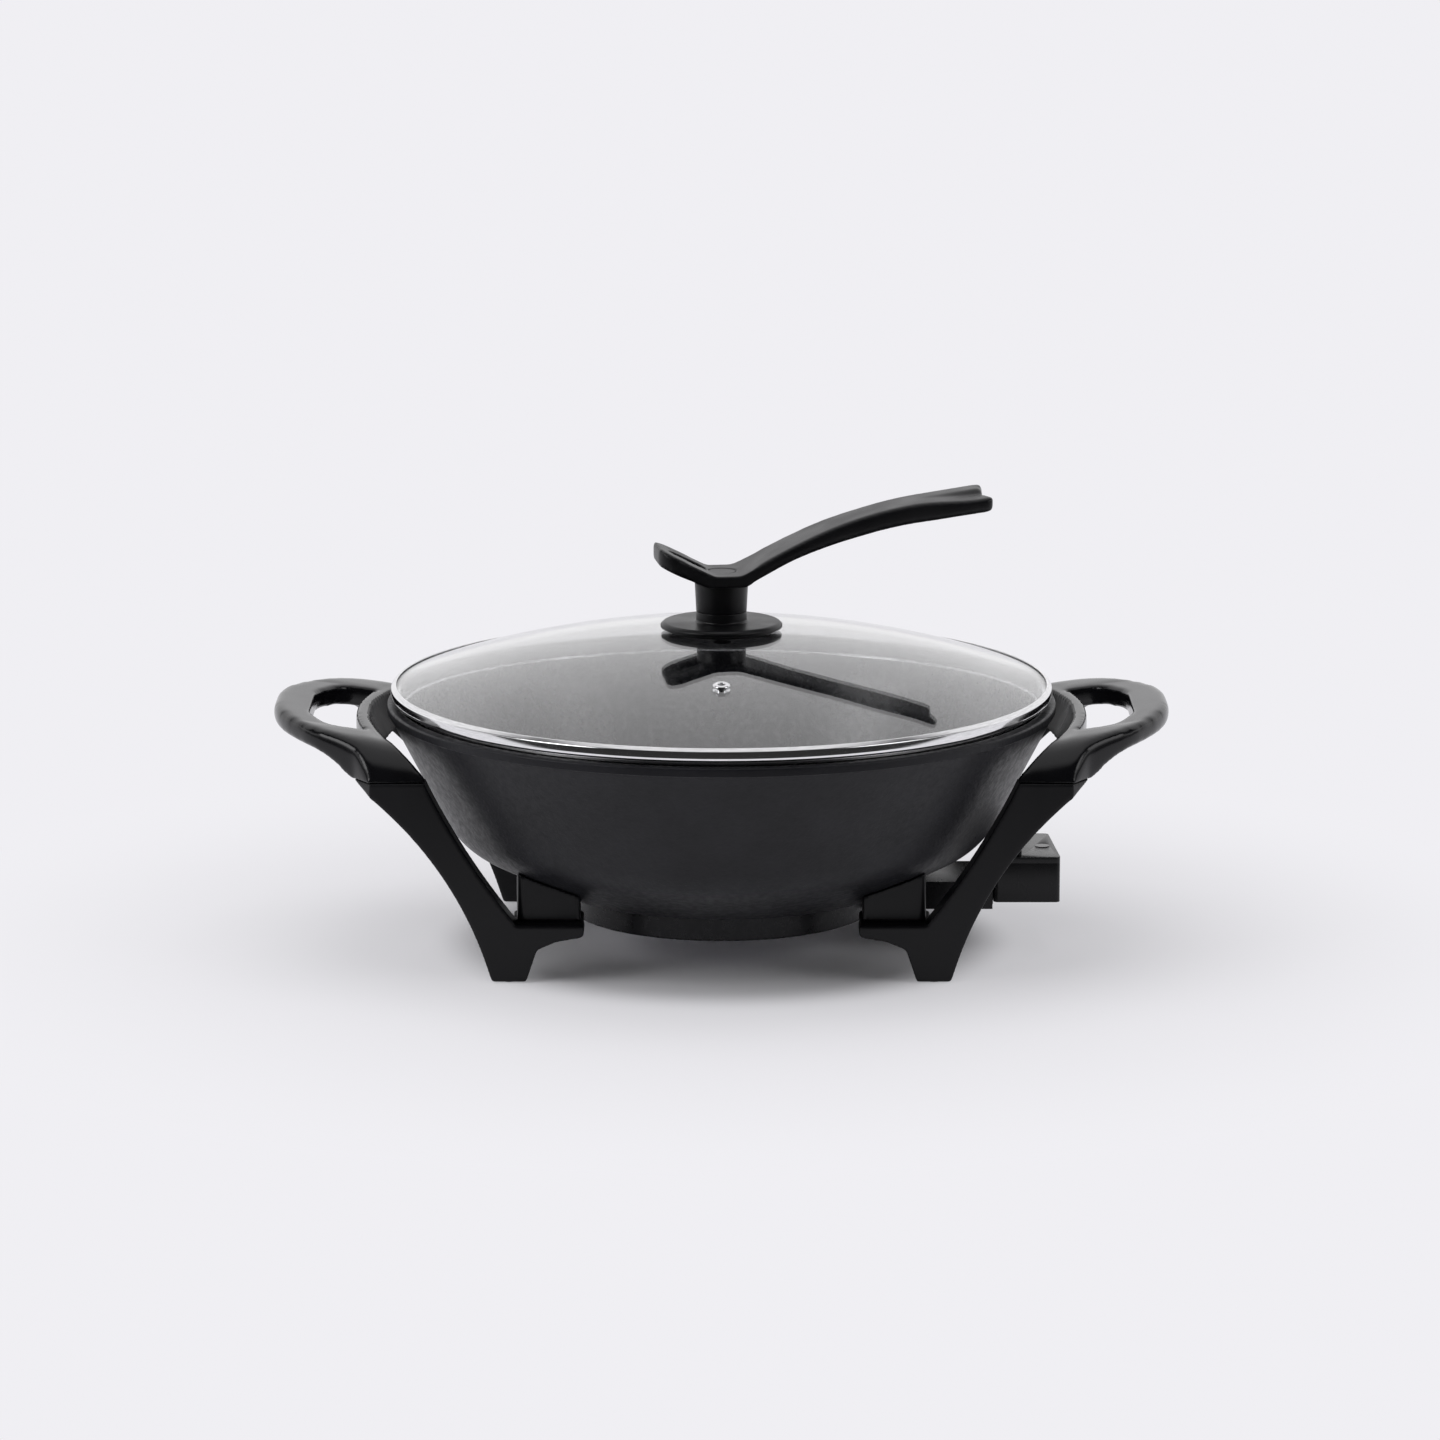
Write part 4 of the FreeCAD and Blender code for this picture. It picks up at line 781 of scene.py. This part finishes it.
# ---------------- lid
@dataclass
class Lid:
    """The glass dome, its rim band and vent, and the knob with its lever grip; sizes in millimetres."""

    dome_radius: float = 475.0
    dome_height: float = 154.0
    glass_radius: float = 158.4
    glass_hole: float = 3.8
    glass: float = 4.0
    glass_rings: int = 40
    lid_radius: float = 160.0
    band_low: float = 121.7
    band_high: float = 128.2
    band_sheet: float = 0.8
    band_lip: float = 3.0
    band_slope: float = 2.2
    band_wall: float = 5.0
    band_lean: float = 0.5
    band_bend: float = 2.0
    band_inner_bend: float = 1.2
    crest_bend: float = 0.9
    lip_bend: float = 0.5
    tip_bend: float = 0.3
    fold_bend: float = 0.4
    tip_share: float = 0.6
    fold: float = 0.6
    skirt_radius: float = 154.8
    skirt_low: float = 116.0
    vent_place: float = 95.0
    vent_bore: float = 1.6
    vent_neck: float = 2.6
    vent_flange: float = 4.1
    vent_over: Pair = (0.15, 1.5)
    vent_under: Pair = (0.35, 1.2)
    knob_radius: float = 29.4
    knob_top: float = 157.8
    knob_hole: float = 2.6
    knob_gap: float = 0.9
    knob_bend: float = 2.6
    knob_hollow: float = 0.6
    knob_land: Pair = (5.0, 4.0)
    knob_edge: float = 1.7
    stem_low: float = 162.8
    stem_top: float = 176.7
    stem_foot: float = 12.2
    stem_head: float = 12.9
    stem_bore: float = 1.9
    seam_bend: float = 0.45
    grip_voxel: float = 0.6
    grip_passes: int = 45
    grip_swell: float = 0.6
    grip_turn: float = math.radians(8)
    grip_rise: float = 0.315
    # how far the grip's prong droops and its root rises, and over which stretches
    droop: float = 3.2
    droop_along: Pair = (92.0, 136.0)
    droop_across: Pair = (-2.0, 1.0)
    droop_above: Pair = (0.0, 9.0)
    lift: float = 2.2
    root_inset: float = 3.0
    root_full: float = 36.0
    root_end: Pair = (38.0, 72.0)
    root_above: Pair = (2.0, 14.0)
    root_hold: float = 0.7
    # where the grip's edges stay crisp
    cap_edge: Pair = (1.0, 8.0)
    slot_half: Pair = (5.5, 8.5)
    slot_start: Pair = (5.0, 8.0)
    slot_end: Pair = (26.0, 29.0)
    slot_hold: float = 0.85
    thumb: Pair = (16.0, 22.0)
    thumb_hold: float = 0.3

    def dome_at(self, radius: float, drop: float = 0.0) -> float:
        """Return the height of the dome's outside, or of a shell a drop below it, at a radius."""
        sphere = self.dome_radius - drop
        return self.dome_height - self.dome_radius + math.sqrt(sphere * sphere - radius * radius)

    def glass_dome(self) -> Piece:
        """Return the domed glass with the hole for its knob screw."""
        width = self.glass_radius - self.glass_hole
        radii = [self.glass_hole + width * ring / self.glass_rings for ring in range(self.glass_rings + 1)]
        outside = [(radius, self.dome_at(radius)) for radius in radii]
        inside = [(radius, self.dome_at(radius, self.glass)) for radius in reversed(radii)]
        return lathe("glass_dome", outside + inside, steps=224)

    def rim_band(self) -> Piece:
        """Return the rolled steel band round the glass."""
        outer, low, high, sheet = self.lid_radius, self.band_low, self.band_high, self.band_sheet
        inner = outer - self.band_lip
        slope = outer - self.band_slope
        lean = outer - self.band_lean
        crest = low + self.band_wall
        skirt_inner = self.skirt_radius - sheet
        return lathe("rim_band", [
            (skirt_inner, self.skirt_low), (self.skirt_radius, self.skirt_low),
            (self.skirt_radius, low), (outer, low, self.band_bend), (lean, crest, self.crest_bend),
            (slope, high, self.lip_bend), (inner, high, self.tip_bend),
            (inner, high - sheet * self.tip_share), (slope - self.fold, high - sheet, self.fold_bend),
            (lean - sheet, crest, self.fold_bend), (outer - sheet, low + sheet, self.band_inner_bend),
            (skirt_inner, low + sheet),
        ], steps=256, bends=8)

    def vent(self) -> Piece:
        """Return the steam vent's eyelet, leaning with the dome."""
        over_gap, over = self.vent_over
        under_gap, under = (-self.glass - depth for depth in self.vent_under)
        eyelet = lathe("vent_eyelet", [
            (self.vent_bore, under, 0.2), (self.vent_flange, under, 0.5),
            (self.vent_flange, under_gap), (self.vent_neck, under_gap),
            (self.vent_neck, over_gap), (self.vent_flange, over_gap, 0.1),
            (self.vent_flange, over, 1.0), (self.vent_bore, over, 0.6),
        ], steps=64)
        lean = math.asin(self.vent_place / self.dome_radius)
        eyelet.data.transform(Matrix.Rotation(lean, 4, "X"))
        spot = Vector((0, -self.vent_place, self.dome_at(self.vent_place)))
        eyelet.data.transform(Matrix.Translation(spot * MM))
        return eyelet

    def disc(self) -> Piece:
        """Return the knob's base disc, hollowed below, with the short boss on it."""
        low = self.dome_at(self.knob_radius - 2) + self.knob_gap
        hollow = low + self.knob_hollow
        edge = self.knob_radius
        land_start, land_end = (edge - inset for inset in self.knob_land)
        return lathe("knob_disc", [
            (self.knob_hole, hollow), (land_start, hollow, 0.6), (land_end, low, 0.4),
            (edge, low + self.knob_edge, 0.7), (edge, self.knob_top, self.knob_bend),
            (self.stem_foot, self.knob_top, 1.2), (self.stem_foot, self.stem_low, self.seam_bend),
            (self.knob_hole, self.stem_low),
        ], steps=128, bends=8)

    def stem(self) -> Piece:
        """Return the stem between the disc and the lever grip."""
        return lathe("knob_stem_turned", [
            (self.stem_bore, self.stem_low), (self.stem_foot, self.stem_low, self.seam_bend),
            (self.stem_head, self.stem_top, 0.3), (self.stem_bore, self.stem_top),
        ], steps=96)

    def grip(self) -> Piece:
        """Return the lever grip with crowned faces and soft ends."""
        piece = remeshed(copy_of("knob_grip", "lever_grip"), self.grip_voxel)
        for vertex in piece.data.vertices:
            vertex.co.z += self.grip_shift(vertex.co / MM) * MM
        return fitted(moulded(piece, self.grip_passes, self.grip_softness, self.grip_swell), "knob_grip")

    def grip_shift(self, place: Vector) -> float:
        """Return how far a point of the grip moves up: its root rises and its front prong droops."""
        x, y, z = place
        across = y * math.cos(self.grip_turn) - x * math.sin(self.grip_turn)
        under = self.stem_top + (x - self.stem_head) * self.grip_rise
        prong = (step_up(x, *self.droop_along) * step_up(-across, *self.droop_across)
                 * step_up(z - under, *self.droop_above))
        root_start = self.stem_head - self.root_inset
        root = step_up(x, root_start, self.root_full) * (1 - step_up(x, *self.root_end))
        rise = self.lift * root * (1 - self.root_hold * step_up(z - under, *self.root_above))
        return rise - self.droop * prong

    def grip_softness(self, place: Vector) -> float:
        """Return how soft the grip's moulding is at a point: least round the cap and the slot."""
        cap_start, cap_end = self.cap_edge
        near_cap = 1 - step_up(abs(place.x), self.stem_head + cap_start, self.stem_head + cap_end)
        in_slot = ((1 - step_up(abs(place.y), *self.slot_half)) * step_up(-place.x, *self.slot_start)
                   * (1 - step_up(-place.x, *self.slot_end)))
        at_thumb = step_up(-place.x, *self.thumb)
        return (1 - self.slot_hold * max(near_cap, in_slot)) * (1 - self.thumb_hold * at_thumb)

    def build(self) -> None:
        """Make and place the lid's pieces."""
        WARDROBE.settle(self.glass_dome(), Slot.LID_GLASS, Body.LID, "lid_glass")
        WARDROBE.settle(self.rim_band(), Slot.POLISHED_RIM, Body.LID, "lid_rim_band")
        WARDROBE.settle(self.vent(), Slot.POLISHED_RIM, Body.LID, "vent_grommet")
        WARDROBE.settle(self.disc(), Slot.SATIN_BLACK, Body.LID, "knob_base", finish=GRIP_GRAIN)
        WARDROBE.settle(self.stem(), Slot.GLOSS_BLACK, Body.LID, "knob_stem", finish=GRIP_GRAIN)
        WARDROBE.settle(self.grip(), Slot.GLOSS_BLACK, Body.LID, "knob_grip", finish=GRIP_GRAIN)


# ---------------- stand and side handles
@dataclass
class Stand:
    """The legs with their blocks, and the looped side handles; sizes in millimetres."""

    voxel: float = 0.8
    leg_passes: int = 5
    block_passes: int = 3
    handle_passes: int = 100
    handle_swell: float = 0.6
    seam_height: float = 96.2
    seam_fade: Pair = (0.5, 3.5)
    leg_fade: Pair = (-5.0, -1.0)
    leg_hold: float = 0.9
    rail_radius: float = 176.4
    rail_edge: float = 3.0
    rail_softness: float = 0.2
    shaded_inset: float = 0.5
    shaded_facing: float = 0.35
    hole_outer: float = 198.3
    hole_half: float = 47.5
    hole_edge: Pair = (0.8, 6.0)
    hole_softness: float = 0.25

    def seam_share(self, place: Vector, fade: Pair) -> float:
        """Return 0 below and 1 above a stretch of height that is given from the seam."""
        start, end = fade
        return step_up(place.z, self.seam_height + start, self.seam_height + end)

    def hole_distance(self, place: Vector) -> float:
        """Return how far a point of a handle is from its finger hole, in plan."""
        radius = math.hypot(place.x, place.y)
        return max(self.rail_radius - radius, abs(place.x) - self.hole_outer,
                   abs(place.y) - self.hole_half, 0.0)

    def handle_softness(self, place: Vector) -> float:
        """Return how soft a handle's moulding is: least at its seams, rail and hole."""
        radius = math.hypot(place.x, place.y)
        off_rail = step_up(radius, self.rail_radius - self.rail_edge, self.rail_radius + self.rail_edge)
        off_hole = step_up(self.hole_distance(place), *self.hole_edge)
        by_rail = self.rail_softness + (1 - self.rail_softness) * off_rail
        by_hole = self.hole_softness + (1 - self.hole_softness) * off_hole
        return self.seam_share(place, self.seam_fade) * min(by_rail, by_hole)

    def is_shaded(self, middle: Vector, normal: Vector) -> bool:
        """Tell whether a face of a handle belongs to the wall that faces the bowl, which takes painted
        shade.
        """
        radius = math.hypot(middle.x, middle.y)
        inward = -(middle.x * normal.x + middle.y * normal.y) / radius
        return radius < self.rail_radius - self.shaded_inset and inward > self.shaded_facing

    def leg_softness(self, place: Vector) -> float:
        """Return how soft a leg's moulding is: least where the handle meets it."""
        return 1 - self.leg_hold * self.seam_share(place, self.leg_fade)

    def build(self) -> None:
        """Make and place the legs, blocks and handles."""
        for name in ("leg_front_right", "leg_front_left", "leg_rear_right", "leg_rear_left"):
            leg = remeshed(copy_of(name, f"{name}_moulding"), self.voxel)
            moulded(leg, self.leg_passes, self.leg_softness)
            WARDROBE.settle(leg, Slot.SATIN_BLACK, Body.STAND, name)
        blocks = remeshed(copy_of("mount_blocks", "block_mouldings"), self.voxel)
        moulded(blocks, self.block_passes)
        WARDROBE.settle(blocks, Slot.SATIN_BLACK, Body.STAND, "mount_blocks")
        for name in ("handle_right", "handle_left"):
            loop = remeshed(copy_of(name, f"{name}_moulding"), self.voxel)
            fitted(moulded(loop, self.handle_passes, self.handle_softness, self.handle_swell), name)
            WARDROBE.settle(loop, Slot.GLOSS_BLACK, Body.STAND, name)
            # painted shade on the wall that faces the bowl
            WARDROBE.line(loop, INNER_PAINTED_SHADE, self.is_shaded)


# ---------------- controller
@dataclass
class Controller:
    """The plug-in controller's case in two halves; sizes in millimetres."""

    edge: float = 0.6

    def build(self) -> None:
        """Make and place the halves of the case."""
        for node, name in (("controller_base", "controller_case"), ("controller_cover", "controller_lid")):
            WARDROBE.settle(eased(copy_of(node, name), self.edge), Slot.CASE_BLACK, Body.CONTROLLER, node)


# ---------------- the frame's own nodes
def dress_frame() -> None:
    """Give every node that is still shown its finish."""
    slots = {row["node"]: row["material_slot"] for row in frame["record"]["subparts"]}
    for node, thing in frame["nodes"].items():
        if thing.hide_render:
            continue
        finish = DARK_STEEL if node in ("lid_washer", "lid_screw") else FINISHES[Slot(slots[node])]
        WARDROBE.dress(thing, finish)
        LOG.info("%s keeps its solid in %s", node, slots[node])


# ---------------- studio
@dataclass(frozen=True)
class Panel:
    """A bright field that gloss mirrors; its edge is a pair of cosines off its direction."""

    toward: Triple
    strength: float
    edge: Pair


@dataclass(frozen=True)
class Softbox:
    """A square lamp that faces the object; metres and watts."""

    name: str
    place: Triple
    size: float
    power: float


PANELS = (Panel((-0.78, -0.38, 0.50), strength=4.5, edge=(0.955, 0.99)),
          Panel((0.78, -0.38, 0.50), strength=2.4, edge=(0.955, 0.99)),
          Panel((0, 0.05, 1.0), strength=0.9, edge=(0.80, 0.96)))
SOFTBOXES = (Softbox("top_box", (-0.2, 0.1, 2.2), size=2.0, power=19),
             Softbox("left_box", (-1.6, -0.6, 1.2), size=1.4, power=14),
             Softbox("right_box", (1.6, -0.5, 1.0), size=1.2, power=6))


@dataclass
class Studio:
    """Floor, lamps, world and camera; sizes in metres."""

    pale: float = 0.87
    mirrored_tint: Color = (1, 0.995, 1.01)
    fill: float = 0.31
    dim: float = 0.03
    back_wall: float = 0.96
    back_edge: Pair = (0.10, 0.45)
    side_panel: float = 0.22
    side_edge: Pair = (0.80, 0.95)
    strip: float = 1.1
    strip_bottom: Pair = (0.14, 0.20)
    strip_top: Pair = (0.34, 0.42)
    strip_edge: Pair = (0.62, 0.80)
    floor_radius: float = 14.0
    # painted light: the floor glows pale from these radii on, which lightens the object's shadows
    painted_light_share: float = 0.50
    near_painted_light: Pair = (0.104, 0.145)
    far_painted_light: Pair = (0.17, 0.42)
    # painted reflection: in front of this edge the floor looks dark to glossy rays only
    mirror_dark_edge: Pair = (-0.65, -0.40)
    aim_height: float = 0.09
    lens: float = 156.8
    sensor: float = 36.0
    camera_place: Triple = (-0.0007, -2.9725, 0.7247)
    camera_tilt: float = 78.2954
    camera_range: Pair = (0.1, 60.0)

    def pale_color(self) -> Color:
        """Return the colour of the floor far off and of the background."""
        return self.pale, self.pale * 0.992, self.pale * 1.03

    def floor(self) -> None:
        """Make the pale floor; it takes shadows near the object, which its painted pale glow lightens more
        and more farther out until it is the even backdrop, and gloss sees its front part as a painted dark
        reflection.
        """
        shape = bmesh.new()
        bmesh.ops.create_circle(shape, cap_ends=True, segments=96, radius=self.floor_radius)
        floor = finish_mesh("studio_floor", shape)
        recipe = Recipe("studio_floor")
        recipe.base(self.pale_color(), 0.9, gloss=0.0)
        length = recipe.add("ShaderNodeVectorMath", operation="LENGTH")
        recipe.link(recipe.place, length.inputs[0])
        # painted light: share of pale glow mixed into the floor, rising with distance from the object
        near, far = (recipe.spread(length.outputs["Value"], 0, self.painted_light_share, *light_span)
                     for light_span in (self.near_painted_light, self.far_painted_light))
        pale = recipe.glow("ShaderNodeEmission", self.pale_color())
        shown = recipe.blend(recipe.math("ADD", near, far), recipe.shader.outputs["BSDF"], pale)
        split = recipe.add("ShaderNodeSeparateXYZ")
        recipe.link(recipe.place, split.inputs["Vector"])
        # painted dark reflection of the floor's front part, for glossy rays only
        before = recipe.spread(split.outputs["Y"], 1, 0, *self.mirror_dark_edge)
        glossy = recipe.add("ShaderNodeLightPath").outputs["Is Glossy Ray"]
        dark = recipe.glow("ShaderNodeEmission", (self.dim, self.dim, self.dim))
        recipe.link(recipe.blend(recipe.math("MULTIPLY", before, glossy), shown, dark),
                    recipe.output.inputs["Surface"])
        floor.data.materials.append(recipe.material)

    def surroundings(self, nodes: Nodes) -> Socket:
        """Return what glossy pieces mirror: a pale back, dimmer sides, bright panels and a dark front."""
        toward = nodes.add("ShaderNodeTexCoord").outputs["Generated"]
        split = nodes.add("ShaderNodeSeparateXYZ")
        nodes.link(toward, split.inputs["Vector"])
        height = split.outputs["Z"]
        across = nodes.math("ABSOLUTE", split.outputs["X"])
        bands = nodes.math("MULTIPLY", nodes.spread(height, 0, 1, *self.strip_bottom),
                           nodes.spread(height, 1, 0, *self.strip_top))
        light = nodes.spread(split.outputs["Y"], self.dim, self.back_wall, *self.back_edge)
        fields = [nodes.spread(across, self.dim, self.side_panel, *self.side_edge),
                  nodes.math("MULTIPLY", bands, nodes.spread(across, 0, self.strip, *self.strip_edge))]
        for panel in PANELS:
            facing = nodes.add("ShaderNodeVectorMath", operation="DOT_PRODUCT")
            nodes.link(toward, facing.inputs[0])
            facing.inputs[1].default_value = Vector(panel.toward).normalized()
            fields.append(nodes.spread(facing.outputs["Value"], 0, panel.strength, *panel.edge))
        for field in fields:
            light = nodes.math("MAXIMUM", light, field)
        return light

    def world(self) -> None:
        """Make the background for the eye, the surroundings for gloss and a soft fill for the rest."""
        world = bpy.data.worlds.new("studio_world")
        bpy.context.scene.world = world
        world.use_nodes = True
        nodes = Nodes(world.node_tree)
        shown = world.node_tree.nodes["Background"]
        shown.inputs["Color"].default_value = (*self.pale_color(), 1)
        mirrored = nodes.glow("ShaderNodeBackground", self.mirrored_tint, self.surroundings(nodes))
        fill = nodes.glow("ShaderNodeBackground", (1, 1, 1), self.fill)
        path = nodes.add("ShaderNodeLightPath").outputs
        straight = nodes.math("LESS_THAN", path["Glossy Depth"], 0.5)
        bent = nodes.math("GREATER_THAN", path["Glossy Depth"], 0.5)
        through = nodes.math("MULTIPLY", path["Is Transmission Ray"], straight)
        clear = nodes.math("MAXIMUM", path["Is Camera Ray"], through)
        unseen = nodes.blend(nodes.math("MAXIMUM", path["Is Glossy Ray"], bent), fill, mirrored)
        nodes.link(nodes.blend(clear, unseen, shown.outputs["Background"]),
                   world.node_tree.nodes["World Output"].inputs["Surface"])

    def lamp(self, box: Softbox) -> None:
        """Hang a softbox; gloss and glass see the world's panels in its stead."""
        data = bpy.data.lights.new(box.name, "AREA")
        data.shape = "RECTANGLE"
        data.size = data.size_y = box.size
        data.energy = box.power
        lamp = new_object(box.name, data)
        lamp.location = box.place
        lamp.visible_glossy = False
        lamp.visible_transmission = False
        aim = Vector((0, 0, self.aim_height)) - Vector(box.place)
        lamp.rotation_euler = aim.to_track_quat("-Z", "Y").to_euler()

    def camera(self) -> None:
        """Place the camera."""
        data = bpy.data.cameras.new("studio_camera")
        data.lens = self.lens
        data.sensor_width = self.sensor
        data.clip_start, data.clip_end = self.camera_range
        camera = new_object("studio_camera", data)
        camera.location = self.camera_place
        camera.rotation_euler = (math.radians(self.camera_tilt), 0, 0)
        bpy.context.scene.camera = camera

    def build(self) -> None:
        """Make the whole studio."""
        self.floor()
        self.world()
        for box in SOFTBOXES:
            self.lamp(box)
        self.camera()
        bpy.context.scene.view_settings.view_transform = "Standard"


def main() -> None:
    """Build the pieces in order, then the studio."""
    logging.basicConfig(level=logging.INFO, format="%(name)s: %(message)s")
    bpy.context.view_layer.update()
    for part in (Bowl(), Lid(), Stand(), Controller()):
        part.build()
    dress_frame()
    Studio().build()


if __name__ == "__main__":
    main()
